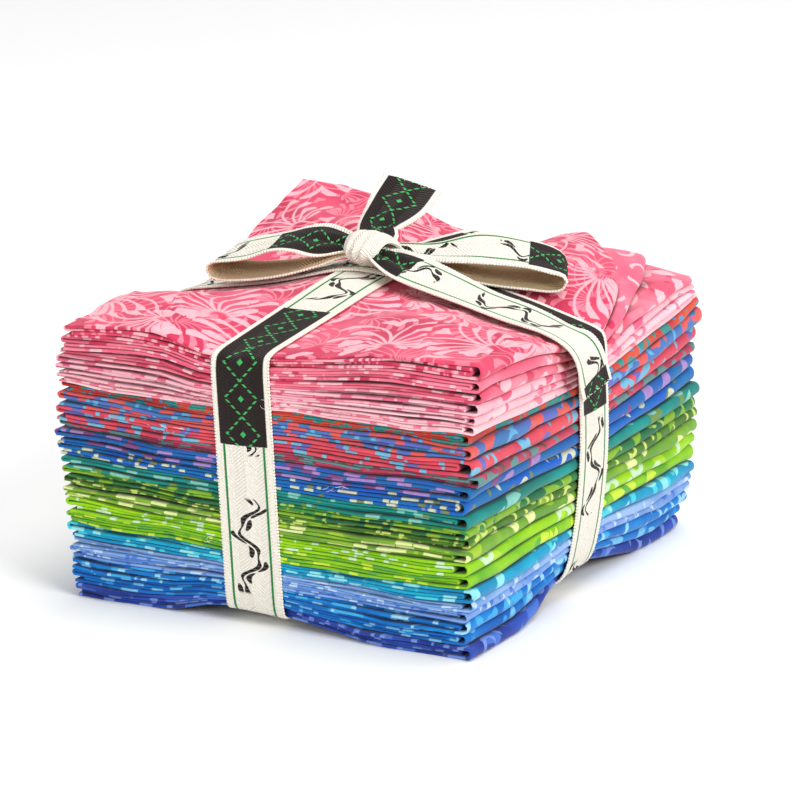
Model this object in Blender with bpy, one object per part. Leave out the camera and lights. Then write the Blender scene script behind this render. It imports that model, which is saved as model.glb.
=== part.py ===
"""A tied bundle of 24 folded fat quarters.

Each fat quarter is one closed sheet folded back and forth, drawn as a section of three passes
that runs front to back. All of them share one set of four height charts, so they nest without
touching. Two turns of ribbon cross under and over the stack and meet in a bow.
X runs along the stack's left face in the usual view, Y goes away from it and Z is up.
Sizes are in millimetres until a mesh is made.
"""

import math
from collections import namedtuple

import bmesh
import bpy
from mathutils import Vector

MM = 0.001

# Driving sizes
HALF_WIDTH = 70.0
HALF_DEPTH = 76.0
SPLIT_X = 38.0
SPLIT_Y_FRONT = -40.0
SPLIT_Y_BACK = 45.0
# Moves the finished bundle so that its box stands centred on the origin.
SHIFT = Vector((-0.3, -2.1, 0.0))

PIECE_GAP = 0.34
FOLD_SEGMENTS = 4
SMALL_FOLD_SEGMENTS = 3
# Shares of a fat quarter's own height: the air between two passes, and the thickness of a pass.
PASS_GAP_SHARE = 0.07
SHEET_SHARE = (1 - 2 * PASS_GAP_SHARE) / 3
# How round the folds are: their depth along X is this share of their height.
FOLD_ROUNDNESS = 0.9
# Where the two cut ends of the section lie, in from the left edge and from the big fold's start.
LOW_END_INSET = 0.6
MIDDLE_END_INSET = 0.8
# Stations along a pass stay this far from the right edge, and from each other.
STATION_ROOM = 4.0
STATION_SPACING = 3.0

RIBBON_WIDTH = 19.0
RIBBON_THICKNESS = 1.0
RIBBON_GAP = 0.35
RIBBON_ZONE = 10.0
RIBBON_ZONE_Y = 11.0
CROSSWISE_Y = 3.0
CROSSING_MARGIN = 12.0
CORNER_CUT = 2.0

# The lengthwise ribbon drifts to the right as it runs back over the top.
LENGTHWISE_X = -3.4
LENGTHWISE_DRIFT = 0.086

# Height charts: a row for each place along Y and a column for each place along X.
# The ribbon columns and rows lie just outside the two ribbons, where they squeeze the stack.
ChartRow = namedtuple("ChartRow", "left left_mid ribbon_left ribbon_right right_mid right")

TOP_CHART = (
    ChartRow(left=87.5, left_mid=89.5, ribbon_left=84.0, ribbon_right=85.5, right_mid=92.0, right=92.5),
    ChartRow(left=87.5, left_mid=91.0, ribbon_left=89.5, ribbon_right=90.0, right_mid=93.5, right=91.0),
    ChartRow(left=82.0, left_mid=88.0, ribbon_left=94.0, ribbon_right=94.0, right_mid=89.5, right=82.0),
    ChartRow(left=81.5, left_mid=88.5, ribbon_left=94.0, ribbon_right=94.0, right_mid=89.5, right=81.5),
    ChartRow(left=93.0, left_mid=95.0, ribbon_left=93.0, ribbon_right=92.5, right_mid=94.0, right=89.0),
    ChartRow(left=99.0, left_mid=98.5, ribbon_left=91.0, ribbon_right=89.5, right_mid=94.5, right=88.5),
)
BASE_CHART = (
    ChartRow(left=0.0, left_mid=0.0, ribbon_left=3.8, ribbon_right=3.8, right_mid=0.0, right=0.0),
    ChartRow(left=0.0, left_mid=0.0, ribbon_left=3.8, ribbon_right=3.8, right_mid=0.0, right=0.0),
    ChartRow(left=4.2, left_mid=3.8, ribbon_left=3.8, ribbon_right=3.8, right_mid=3.8, right=6.0),
    ChartRow(left=4.2, left_mid=3.8, ribbon_left=3.8, ribbon_right=3.8, right_mid=3.8, right=6.0),
    ChartRow(left=0.0, left_mid=0.0, ribbon_left=3.8, ribbon_right=3.8, right_mid=0.0, right=0.0),
    ChartRow(left=0.0, left_mid=0.0, ribbon_left=3.8, ribbon_right=3.8, right_mid=0.0, right=0.0),
)

# The two charts between them only tilt and sag, so they are a level plus one term for each way.
TiltChart = namedtuple("TiltChart", "level left ribbon_left ribbon_right right front ribbon back")
LOW_CHART = TiltChart(
    level=21.8, left=1.8, ribbon_left=0.6, ribbon_right=-0.5, right=0.0, front=0.0, ribbon=1.0, back=0.3
)
HIGH_CHART = TiltChart(
    level=69.0, left=-1.3, ribbon_left=-2.6, ribbon_right=-0.7, right=0.0, front=1.0, ribbon=-1.0, back=7.0
)

# A row for each fat quarter from the top: its share of the height, and how far its edges pass
# the nominal ones at the left, at the right by the near and the far corner, in front and behind.
FatQuarter = namedtuple("FatQuarter", "pitch left near far front back colour")
FAT_QUARTERS = (
    FatQuarter(4.4, 1.4, 2.6, -34.0, 0.6, 1.0, (0.73, 0.07, 0.16)),
    FatQuarter(3.9, 3.2, 1.8, -16.0, 0.9, 2.0, (0.72, 0.08, 0.17)),
    FatQuarter(3.3, 4.0, 1.8, 0.4, -0.2, 1.5, (0.76, 0.17, 0.24)),
    FatQuarter(3.9, 4.8, 1.2, 0.8, 0.7, 2.5, (0.83, 0.38, 0.43)),
    FatQuarter(2.9, 5.6, 0.4, 1.6, -0.3, 2.0, (0.88, 0.58, 0.62)),
    FatQuarter(2.9, 5.8, 0.0, 1.2, 0.3, 3.5, (0.87, 0.52, 0.56)),
    FatQuarter(3.0, 4.6, -3.0, 2.0, -0.8, 4.5, (0.70, 0.12, 0.07)),
    FatQuarter(4.6, 5.0, -1.0, 2.6, 0.4, 5.5, (0.62, 0.16, 0.16)),
    FatQuarter(5.0, 5.0, -0.4, 1.0, 0.8, 5.0, (0.75, 0.17, 0.20)),
    FatQuarter(2.9, 4.4, 0.6, 0.6, -0.6, 3.5, (0.38, 0.20, 0.25)),
    FatQuarter(4.6, 5.0, -1.6, 1.4, 0.5, 4.0, (0.14, 0.22, 0.55)),
    FatQuarter(4.5, 5.0, -2.6, 1.0, 0.2, 4.5, (0.02, 0.16, 0.62)),
    FatQuarter(4.0, 3.2, -1.8, 2.0, 0.6, 5.5, (0.02, 0.40, 0.42)),
    FatQuarter(3.5, 3.4, -2.2, 1.8, -0.4, 5.0, (0.10, 0.42, 0.12)),
    FatQuarter(2.9, 3.9, -2.4, 1.2, -0.7, 4.5, (0.16, 0.34, 0.06)),
    FatQuarter(4.0, 3.0, -1.8, 2.2, 0.3, 5.5, (0.33, 0.52, 0.04)),
    FatQuarter(4.0, 2.2, -1.4, 1.6, 0.7, 5.0, (0.42, 0.66, 0.02)),
    FatQuarter(4.3, 2.0, -1.0, 1.0, 0.1, 4.0, (0.38, 0.58, 0.03)),
    FatQuarter(4.0, 1.8, 0.0, 2.2, 0.6, 4.5, (0.03, 0.46, 0.66)),
    FatQuarter(2.8, 1.0, -1.0, 1.0, -0.9, 3.0, (0.40, 0.58, 0.80)),
    FatQuarter(3.0, 1.4, -1.6, 0.6, 0.2, 2.5, (0.33, 0.50, 0.80)),
    FatQuarter(4.0, 0.6, -2.2, 0.2, 0.7, 1.5, (0.04, 0.33, 0.76)),
    FatQuarter(3.6, -0.2, -2.4, -0.6, -0.3, 0.5, (0.03, 0.27, 0.72)),
    FatQuarter(4.2, -1.0, -0.6, -1.4, 0.4, -0.5, (0.04, 0.10, 0.46)),
)
UPPER_COUNT = 6
LOWER_COUNT = 6

# Where the ribbons hold every edge in line, and how much further they draw in the end pieces.
RIBBON_LINE_LEFT = 3.0
RIBBON_LINE_BACK = 2.0
END_DRAW = 2.4
NEXT_DRAW = 0.5
RIGHT_DRAW_SHARE = 0.5
LOW_RIGHT_DRAW = (3.0, 1.8, 1.0, 0.5)

# The top two pieces have their far right corner drawn in, and stand clear of the next one there.
DRAWN_CORNER = -2.0
DRAWN_SHARE = 0.3
DRAWN_LIFT = 0.9

CREAM = (0.86, 0.83, 0.76)
CLOTH_ROUGHNESS = 0.85
RIBBON_ROUGHNESS = 0.8
SMOOTH_ANGLE = math.radians(40)
MITRE_LIMIT = 0.5

# Heights of the ribbons' stations on the sides, and how they round the stack's edges.
SIDE_HEIGHTS = (60.0, 30.0)
BACK_CUT = 3.5
RIGHT_TUCK = 1.2
RIGHT_RISE = 4.5
UNDER_X = -1.9
UNDER_DRIFT = 0.04
# How far the crosswise ribbon wanders along Y as it goes down the right side.
RIGHT_SIDE_DRIFT = (0.6, 2.6, 1.0, -2.0, -6.0)
RIGHT_SIDE_HEIGHTS = (60.0, 36.0, 18.0)

KNOT_CENTRE = Vector((-4.5, 0.0, 101.8))
KNOT_HALF = Vector((7.6, 7.8, 4.4))
KNOT_FLOOR = 97.5
KNOT_WRAP = 0.12
KNOT_WRAP_SPREAD = 0.55
KNOT_SEGMENTS = (14, 10)

# Free lengths of ribbon, both angles in degrees. The heading turns the strip's width away from
# +Y. A positive lean lifts the far edge where the strip runs to the left and the near edge where
# it runs to the right. The tip slants the cut end.
StripRow = namedtuple("StripRow", "x y z width heading lean tip", defaults=(0.0,))

FREE_STRIPS = {
    "bow_loop_left": (
        StripRow(-12.6, 0.0, 99.8, 9.0, 0, 2),
        StripRow(-20.0, -1.0, 97.0, 14.0, 0, 4),
        StripRow(-31.0, -2.5, 93.4, 19.0, 0, 4),
        StripRow(-44.0, -4.5, 91.2, 19.0, 0, 5),
        StripRow(-54.0, -5.5, 90.9, 18.6, 0, 5),
        StripRow(-56.0, -5.6, 93.4, 18.6, 0, 0),
        StripRow(-54.2, -5.5, 96.0, 18.6, 0, 0),
        StripRow(-44.0, -4.3, 99.4, 19.0, 0, -2),
        StripRow(-35.5, -3.0, 101.8, 19.0, 0, 2),
        StripRow(-28.5, -2.0, 102.8, 18.0, 0, 0),
        StripRow(-21.0, -1.0, 102.2, 15.0, 0, -8),
        StripRow(-12.6, 0.0, 102.8, 9.0, 0, -2),
    ),
    "bow_loop_right": (
        StripRow(3.4, 3.8, 99.6, 9.0, -27, -2),
        StripRow(13.0, 8.8, 97.2, 14.0, -27, -5),
        StripRow(27.0, 16.0, 94.0, 19.0, -27, -5),
        StripRow(39.0, 22.1, 92.5, 19.0, -27, -6),
        StripRow(47.8, 26.5, 92.3, 18.6, -27, -8),
        StripRow(49.8, 27.4, 94.6, 18.6, -27, 0),
        StripRow(47.5, 26.4, 97.6, 18.6, -27, 10),
        StripRow(38.0, 21.7, 100.6, 19.0, -27, 8),
        StripRow(26.0, 15.3, 102.8, 19.0, -27, 5),
        StripRow(13.5, 9.0, 102.4, 14.0, -27, 3),
        StripRow(3.4, 3.8, 102.6, 9.0, -27, 2),
    ),
    "ribbon_tail_back": (
        StripRow(-6.0, 8.9, 102.9, 10.0, 90, 0),
        StripRow(-10.0, 14.0, 104.6, 13.0, 90, -2),
        StripRow(-9.5, 26.0, 109.4, 19.0, 90, -8),
        StripRow(-10.0, 38.0, 114.4, 19.0, 90, -16),
    ),
    "ribbon_tail_front": (
        StripRow(4.0, -5.0, 101.4, 8.0, 0, 0),
        StripRow(12.0, -6.6, 99.4, 14.0, 0, 0),
        StripRow(24.0, -8.0, 96.2, 18.0, 0, 1),
        StripRow(38.0, -10.0, 93.4, 19.0, 0, 0),
        StripRow(53.0, -11.8, 90.7, 19.0, 0, 0),
        StripRow(65.5, -12.2, 87.6, 19.0, 0, 6),
        StripRow(72.0, -10.8, 84.0, 19.0, 0, 6),
        StripRow(74.8, -8.2, 78.4, 19.0, 0, 2),
        StripRow(75.7, -3.5, 67.6, 19.0, 0, 0, 6.0),
    ),
}


def lengthwise_x(y):
    """Centre of the lengthwise ribbon on the top and the underside."""
    return LENGTHWISE_X + LENGTHWISE_DRIFT * y


def columns_at(y):
    middle = lengthwise_x(y)
    return (-HALF_WIDTH, -SPLIT_X, middle - RIBBON_ZONE, middle + RIBBON_ZONE, SPLIT_X, HALF_WIDTH)


ROWS = (
    -HALF_DEPTH,
    SPLIT_Y_FRONT,
    CROSSWISE_Y - RIBBON_ZONE_Y,
    CROSSWISE_Y + RIBBON_ZONE_Y,
    SPLIT_Y_BACK,
    HALF_DEPTH,
)
RIBBON_ROWS = (2, 3)
COARSE_ROWS = (0, *RIBBON_ROWS, 5)


def interval(value, marks):
    """Index of the interval that holds a value, and how far along it lies; the end ones go on."""
    index = 0
    while index < len(marks) - 2 and value > marks[index + 1]:
        index += 1
    return index, (value - marks[index]) / (marks[index + 1] - marks[index])


def chart_height(chart, x, y):
    row, along_y = interval(y, ROWS)
    column, along_x = interval(x, columns_at(y))
    near = chart[row][column] * (1 - along_x) + chart[row][column + 1] * along_x
    far = chart[row + 1][column] * (1 - along_x) + chart[row + 1][column + 1] * along_x
    return near * (1 - along_y) + far * along_y


def tilt_height(chart, x, y):
    marks = columns_at(y)
    column, along = interval(x, (marks[0], marks[2], marks[3], marks[5]))
    across = (chart.left, chart.ribbon_left, chart.ribbon_right, chart.right)
    row, along_y = interval(y, (ROWS[0], ROWS[2], ROWS[3], ROWS[5]))
    deep = (chart.front, chart.ribbon, chart.ribbon, chart.back)
    height_x = across[column] * (1 - along) + across[column + 1] * along
    height_y = deep[row] * (1 - along_y) + deep[row + 1] * along_y
    return chart.level + height_x + height_y


def top_height(x, y):
    return chart_height(TOP_CHART, x, y)


def base_height(x, y):
    return chart_height(BASE_CHART, x, y)


def stack_levels():
    """Lower and upper level of each fat quarter, from 0 at the base to 3 at the top."""
    groups = (
        (FAT_QUARTERS[:UPPER_COUNT], 2),
        (FAT_QUARTERS[UPPER_COUNT:-LOWER_COUNT], 1),
        (FAT_QUARTERS[-LOWER_COUNT:], 0),
    )
    levels = []
    for rows, floor in groups:
        total = sum(row.pitch for row in rows)
        upper = floor + 1.0
        for row in rows:
            lower = upper - row.pitch / total
            levels.append((lower, upper))
            upper = lower
    return levels


def level_height(level, x, y):
    heights = (
        base_height(x, y),
        tilt_height(LOW_CHART, x, y),
        tilt_height(HIGH_CHART, x, y),
        top_height(x, y),
    )
    index, along = interval(level, (0, 1, 2, 3))
    return heights[index] * (1 - along) + heights[index + 1] * along


def end_draw(index):
    """How far the ribbons draw in the edges of this fat quarter beyond the common line."""
    from_end = min(index, len(FAT_QUARTERS) - 1 - index)
    return (END_DRAW, NEXT_DRAW)[from_end] if from_end < 2 else 0.0


def low_right_draw(index):
    from_base = len(FAT_QUARTERS) - 1 - index
    return LOW_RIGHT_DRAW[from_base] if from_base < len(LOW_RIGHT_DRAW) else 0.0


def right_edge(index, row):
    """X of the big fold along each row."""
    piece = FAT_QUARTERS[index]
    if row in RIBBON_ROWS:
        return HALF_WIDTH - end_draw(index) * RIGHT_DRAW_SHARE - low_right_draw(index)
    if row < RIBBON_ROWS[0]:
        return HALF_WIDTH + piece.near
    share = DRAWN_SHARE if row == len(ROWS) - 2 and piece.far < DRAWN_CORNER else 1.0
    return HALF_WIDTH + piece.far * share


def left_edge(index, row):
    """X of the small fold along each row."""
    piece = FAT_QUARTERS[index]
    if row in RIBBON_ROWS:
        held = min(RIBBON_LINE_LEFT, max(0.0, piece.left))
        return -HALF_WIDTH - held + end_draw(index)
    return -HALF_WIDTH - piece.left


def edge_y(index, x, behind):
    """Y of the front or back edge: level with the common line under the ribbon."""
    piece = FAT_QUARTERS[index]
    side = 1 if behind else -1
    passes = piece.back if behind else piece.front
    held = (RIBBON_LINE_BACK if behind and piece.back > RIBBON_LINE_BACK else 0.0) - end_draw(index)
    marks = columns_at(side * HALF_DEPTH)
    left_away = (marks[2] - x) / (marks[2] - marks[1])
    right_away = (x - marks[3]) / (marks[4] - marks[3])
    away = min(1.0, max(0.0, left_away, right_away))
    return side * (HALF_DEPTH + held + (passes - held) * away)


def fold_arc(centre, radius, pitch_x, turn):
    """Point of a round fold: its radius is a share of the height, and pitch_x is that height."""
    centre_x, centre_share = centre
    return centre_x + radius * pitch_x * math.cos(turn), centre_share + radius * math.sin(turn)


def section_path(index, row, fine):
    """The folded section along one row: (x, share of height) pairs for its two faces.

    The lowest pass runs left to right, a big fold takes it to the top pass, and a small fold
    at the left brings it back between them.
    """
    left = left_edge(index, row)
    right = right_edge(index, row)
    pitch_x = FAT_QUARTERS[index].pitch * FOLD_ROUNDNESS
    marks = columns_at(ROWS[row])
    stations = marks[1:5] if fine else marks[2:4]
    room = right - STATION_ROOM
    stations = [
        min(x, room - STATION_SPACING * (len(stations) - 1 - i)) for i, x in enumerate(stations)
    ]

    outer = []
    inner = []

    def add_pass(places, outer_share, inner_share):
        for x in places:
            outer.append((x, outer_share))
            inner.append((x, inner_share))

    def add_fold(centre, outer_radius, inner_radius, start, segments):
        for step in range(segments + 1):
            turn = start + math.pi * step / segments
            outer.append(fold_arc(centre, outer_radius, pitch_x, turn))
            inner.append(fold_arc(centre, inner_radius, pitch_x, turn))

    add_pass([left + LOW_END_INSET, *stations], 0.0, SHEET_SHARE)
    big = 0.5
    add_fold((right - big * pitch_x, big), big, big - SHEET_SHARE, -math.pi / 2, FOLD_SEGMENTS)
    add_pass(reversed(stations), 1.0, 1.0 - SHEET_SHARE)
    small = SHEET_SHARE + PASS_GAP_SHARE / 2
    centre = (left + small * pitch_x, 1.0 - small)
    add_fold(centre, small, PASS_GAP_SHARE / 2, math.pi / 2, SMALL_FOLD_SEGMENTS)
    middle = SHEET_SHARE + PASS_GAP_SHARE
    add_pass([*stations, right - big * pitch_x - MIDDLE_END_INSET], middle, middle + SHEET_SHARE)
    return outer, inner


def fold_point(index, levels, row, x, share):
    """World point of a section point, between the levels of its fat quarter."""
    if row == 0:
        y = edge_y(index, x, False)
    elif row == len(ROWS) - 1:
        y = edge_y(index, x, True)
    else:
        y = ROWS[row]
    lower = level_height(levels[0], x, y)
    upper = level_height(levels[1], x, y)
    if index < len(FAT_QUARTERS) - 1:
        lower += PIECE_GAP / 2
    if FAT_QUARTERS[index].far < DRAWN_CORNER and row >= len(ROWS) - 2 and x > 0:
        lower += DRAWN_LIFT
    upper -= PIECE_GAP / 2
    return Vector((x, y, lower + (upper - lower) * share))


def add_solid(name, mesh_builder, colour, roughness):
    """Makes one closed object out of a bmesh that is in millimetres."""
    for vertex in mesh_builder.verts:
        vertex.co = (vertex.co + SHIFT) * MM
    bmesh.ops.recalc_face_normals(mesh_builder, faces=mesh_builder.faces)
    if mesh_builder.calc_volume(signed=True) < 0:
        bmesh.ops.reverse_faces(mesh_builder, faces=mesh_builder.faces)
    mesh = bpy.data.meshes.new(name)
    mesh_builder.to_mesh(mesh)
    mesh_builder.free()
    solid = bpy.data.objects.new(name, mesh)
    bpy.context.scene.collection.objects.link(solid)
    material = bpy.data.materials.new(name)
    material.use_nodes = True
    shader = material.node_tree.nodes["Principled BSDF"]
    shader.inputs["Base Color"].default_value = (*colour, 1.0)
    shader.inputs["Roughness"].default_value = roughness
    shader.inputs["Metallic"].default_value = 0.0
    mesh.materials.append(material)
    mesh.shade_smooth()
    mesh.set_sharp_from_angle(angle=SMOOTH_ANGLE)
    return solid


def add_patch(builder, a, b, c, d):
    """A four-sided patch, cut from left front to right back so that stacked ones stay parallel."""
    if b.co.x >= a.co.x:
        builder.faces.new((a, b, c))
        builder.faces.new((a, c, d))
    else:
        builder.faces.new((b, c, d))
        builder.faces.new((b, d, a))


def build_fat_quarter(index, levels):
    """One folded sheet. The middle ones, which the others hide, have fewer stations."""
    fine = index < UPPER_COUNT or index >= len(FAT_QUARTERS) - LOWER_COUNT
    rows = range(len(ROWS)) if fine else COARSE_ROWS
    builder = bmesh.new()
    rings = []
    for row in rows:
        faces = section_path(index, row, fine)
        rings.append(
            [
                [builder.verts.new(fold_point(index, levels, row, x, share)) for x, share in face]
                for face in faces
            ]
        )
    last = len(rings[0][0]) - 1
    for (outer_a, inner_a), (outer_b, inner_b) in zip(rings, rings[1:]):
        for i in range(last):
            add_patch(builder, outer_a[i], outer_a[i + 1], outer_b[i + 1], outer_b[i])
            add_patch(builder, inner_a[i], inner_a[i + 1], inner_b[i + 1], inner_b[i])
        for end in (0, last):
            add_patch(builder, outer_a[end], inner_a[end], inner_b[end], outer_b[end])
    for outer, inner in (rings[0], rings[-1]):
        for i in range(last):
            add_patch(builder, outer[i], outer[i + 1], inner[i + 1], inner[i])
    piece = FAT_QUARTERS[index]
    return add_solid(f"fat_quarter_{index + 1:02d}", builder, piece.colour, CLOTH_ROUGHNESS)


def offset_path(points, distance):
    """A closed path in its own plane, moved out by a distance with mitred corners."""
    moved = []
    count = len(points)
    for i, point in enumerate(points):
        normals = []
        for a, b in ((i - 1, i), (i, (i + 1) % count)):
            run = points[b] - points[a]
            normals.append(Vector((-run.y, run.x)).normalized())
        middle = (normals[0] + normals[1]).normalized()
        moved.append(point + middle * (distance / max(MITRE_LIMIT, middle.dot(normals[0]))))
    return moved


def ribbon_solid(name, stations, closed):
    """A strip through stations of four corners: inner left, inner right, outer right, outer left."""
    builder = bmesh.new()
    rings = [[builder.verts.new(corner) for corner in corners] for corners in stations]
    pairs = list(zip(rings, rings[1:]))
    if closed:
        pairs.append((rings[-1], rings[0]))
    for ring_a, ring_b in pairs:
        for i in range(4):
            j = (i + 1) % 4
            add_patch(builder, ring_a[i], ring_a[j], ring_b[j], ring_b[i])
    if not closed:
        for ring in (rings[0], rings[-1]):
            add_patch(builder, *ring)
    return add_solid(name, builder, CREAM, RIBBON_ROUGHNESS)


def ring_stations(paths, place):
    """Corners of a closed ribbon whose two edges run along paths in a plane, inner face first."""
    outer_paths = [offset_path(path, RIBBON_THICKNESS) for path in paths]
    stations = []
    for i, (left, right, outer_left, outer_right) in enumerate(zip(*paths, *outer_paths)):
        inner = (place(i, left, -1), place(i, right, 1))
        outer = (place(i, outer_right, 1), place(i, outer_left, -1))
        stations.append((*inner, *outer))
    return stations


def under_x(y):
    """Centre of the lengthwise ribbon on the underside."""
    return UNDER_X + UNDER_DRIFT * y


def build_lengthwise_ribbon():
    """The turn that runs front to back: over the top, down behind, under and up in front."""
    front = -HALF_DEPTH - RIBBON_GAP
    back = HALF_DEPTH + RIBBON_LINE_BACK + RIBBON_GAP
    half = RIBBON_WIDTH / 2
    rows = (ROWS[0] + CORNER_CUT, *ROWS[1:5], ROWS[5] + RIBBON_LINE_BACK - BACK_CUT)
    top = [(lengthwise_x(y), y, top_height, RIBBON_GAP) for y in rows]
    under = [(under_x(y), y, base_height, -RIBBON_GAP) for y in reversed(rows)]
    paths = []
    for side in (-1, 1):
        upper = [Vector((y, height(x + side * half, y) + gap)) for x, y, height, gap in top]
        lower = [Vector((y, height(x + side * half, y) + gap)) for x, y, height, gap in under]
        back_heights = (upper[-1].y - BACK_CUT, *SIDE_HEIGHTS, lower[0].y + BACK_CUT)
        down_back = [Vector((back, z)) for z in back_heights]
        up_front = [Vector((front, z)) for z in (lower[-1].y + CORNER_CUT, *SIDE_HEIGHTS[::-1])]
        up_front.append(Vector((front, upper[0].y - CORNER_CUT)))
        paths.append(upper + down_back + lower + up_front)
    sides = len(SIDE_HEIGHTS) + 2
    centres = [x for x, *_ in top]
    centres += blend(centres[-1], under[0][0], sides)
    centres += [x for x, *_ in under]
    centres += blend(centres[-1], top[0][0], sides)

    def place(i, point, side):
        return Vector((centres[i] + side * half, point.x, point.y))

    return ribbon_solid("ribbon_lengthwise", ring_stations(paths, place), True)


def blend(start, end, count):
    """Even steps from one value to another, with both ends."""
    return [start + (end - start) * i / (count - 1) for i in range(count)]


def build_crosswise_ribbon():
    """The turn that runs left to right, over the lengthwise one on top and below it underneath."""
    left = -HALF_WIDTH - RIBBON_LINE_LEFT - RIBBON_GAP
    right = HALF_WIDTH + RIBBON_GAP
    half = RIBBON_WIDTH / 2
    over = RIBBON_THICKNESS + 2 * RIBBON_GAP
    middle = lengthwise_x(CROSSWISE_Y)
    crossing = (middle - CROSSING_MARGIN, middle + CROSSING_MARGIN)
    start = -HALF_WIDTH - RIBBON_LINE_LEFT + BACK_CUT
    end = HALF_WIDTH - CORNER_CUT
    top_x = (start, -SPLIT_X, *crossing, SPLIT_X, end)
    low_x = (end - LOW_RIGHT_DRAW[0], SPLIT_X, *crossing[::-1], -SPLIT_X, start)

    def clear_height(height, x, y, side):
        """Height clear of the stack, and of the other ribbon where the two cross."""
        if x in crossing:
            return height(middle, y) + side * (RIBBON_GAP + over)
        return height(x, y) + side * RIBBON_GAP

    paths = []
    for side in (-1, 1):
        y = CROSSWISE_Y + side * half
        upper = [Vector((x, clear_height(top_height, x, y, 1))) for x in top_x]
        lower = []
        for x in low_x:
            y_low = crosswise_low_y(x) + side * half
            lower.append(Vector((x, clear_height(base_height, x, y_low, -1))))
        down = [Vector((right, z)) for z in (upper[-1].y - CORNER_CUT, *RIGHT_SIDE_HEIGHTS)]
        down.append(Vector((right - RIGHT_TUCK, lower[0].y + RIGHT_RISE)))
        up_heights = (lower[-1].y + BACK_CUT, *SIDE_HEIGHTS[::-1], upper[0].y - BACK_CUT)
        up = [Vector((left, z)) for z in up_heights]
        paths.append(upper + down + lower + up)
    centres = [CROSSWISE_Y] * len(top_x)
    centres += [CROSSWISE_Y + drift for drift in RIGHT_SIDE_DRIFT]
    centres += [crosswise_low_y(x) for x in low_x]
    centres += [CROSSWISE_Y] * (len(SIDE_HEIGHTS) + 2)

    def place(i, point, side):
        return Vector((point.x, centres[i] + side * half, point.y))

    return ribbon_solid("ribbon_crosswise", ring_stations(paths, place), True)


def crosswise_low_y(x):
    """Centre of the crosswise ribbon on the underside: it slants from the right edge to the left."""
    return CROSSWISE_Y + RIGHT_SIDE_DRIFT[-1] * (x + HALF_WIDTH) / (2 * HALF_WIDTH)


def strip_stations(rows):
    """Corners of a free strip of ribbon, for ribbon_solid."""
    points = [Vector((row.x, row.y, row.z)) for row in rows]
    stations = []
    for i, row in enumerate(rows):
        ahead = points[min(i + 1, len(points) - 1)] - points[max(i - 1, 0)]
        ahead.normalize()
        heading = math.radians(row.heading)
        level = Vector((math.sin(heading), math.cos(heading), 0.0))
        level = (level - ahead * level.dot(ahead)).normalized()
        normal = level.cross(ahead).normalized()
        lean = math.radians(row.lean)
        across = level * math.cos(lean) + normal * math.sin(lean)
        up = normal * math.cos(lean) - level * math.sin(lean)
        half = RIBBON_THICKNESS / 2
        near = points[i] - across * row.width / 2 - ahead * row.tip / 2
        far = points[i] + across * row.width / 2 + ahead * row.tip / 2
        stations.append((near - up * half, far - up * half, far + up * half, near + up * half))
    return stations


def build_knot():
    """A flattened ball of wrapped ribbon, with the last wrap standing a little proud."""
    builder = bmesh.new()
    around, along = KNOT_SEGMENTS
    bmesh.ops.create_uvsphere(builder, u_segments=around, v_segments=along, radius=1.0)
    for vertex in builder.verts:
        x, y, z = vertex.co
        swell = 1.0 + KNOT_WRAP * math.exp(-((x / KNOT_WRAP_SPREAD) ** 2))
        vertex.co = KNOT_CENTRE + KNOT_HALF * Vector((x, y * swell, z * swell))
        vertex.co.z = max(vertex.co.z, KNOT_FLOOR)
    return add_solid("ribbon_knot", builder, CREAM, RIBBON_ROUGHNESS)


def main():
    for leftover in list(bpy.data.objects):
        bpy.data.objects.remove(leftover, do_unlink=True)
    for index, levels in enumerate(stack_levels()):
        build_fat_quarter(index, levels)
    build_lengthwise_ribbon()
    build_crosswise_ribbon()
    build_knot()
    for name, rows in FREE_STRIPS.items():
        ribbon_solid(name, strip_stations(rows), False)


main()
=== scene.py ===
import math
import random

import bpy
import numpy as np
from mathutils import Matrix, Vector


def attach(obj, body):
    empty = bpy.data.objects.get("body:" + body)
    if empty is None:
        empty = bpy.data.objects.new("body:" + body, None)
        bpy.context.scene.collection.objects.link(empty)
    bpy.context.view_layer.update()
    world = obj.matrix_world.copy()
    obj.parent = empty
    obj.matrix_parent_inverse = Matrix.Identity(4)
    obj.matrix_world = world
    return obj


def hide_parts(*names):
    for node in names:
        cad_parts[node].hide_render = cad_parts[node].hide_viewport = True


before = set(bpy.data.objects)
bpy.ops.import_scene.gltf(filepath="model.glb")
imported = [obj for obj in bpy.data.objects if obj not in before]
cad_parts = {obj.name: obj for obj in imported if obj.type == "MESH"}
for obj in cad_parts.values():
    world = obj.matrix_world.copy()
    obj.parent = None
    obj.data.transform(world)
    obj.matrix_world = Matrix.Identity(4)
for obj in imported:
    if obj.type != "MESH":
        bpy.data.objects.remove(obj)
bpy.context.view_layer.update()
print("frame loaded,", len(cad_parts), "solids")

mm = 0.001
tau = 2 * math.pi


# Camera, floor and light

photo = {
    "size": 800,
    "azimuth": 27.6,
    "elevation": 16.2,
    "distance": 1.6,
    "focalPixels": 5048.0,
    "sensor": 36.0,
    "target": (-0.0003, -0.0021, 0.045),
    "targetPixel": (385.0, 425.0),
}


def addObject(name, data):
    holder = bpy.data.objects.new(name, data)
    bpy.context.scene.collection.objects.link(holder)
    return holder


def aimed(name, data, place):
    # an object that looks from a place at the middle of the bundle
    holder = addObject(name, data)
    holder.location = place
    aim = Vector(photo["target"]) - Vector(place)
    holder.rotation_euler = aim.to_track_quat("-Z", "Y").to_euler()
    return holder


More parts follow.
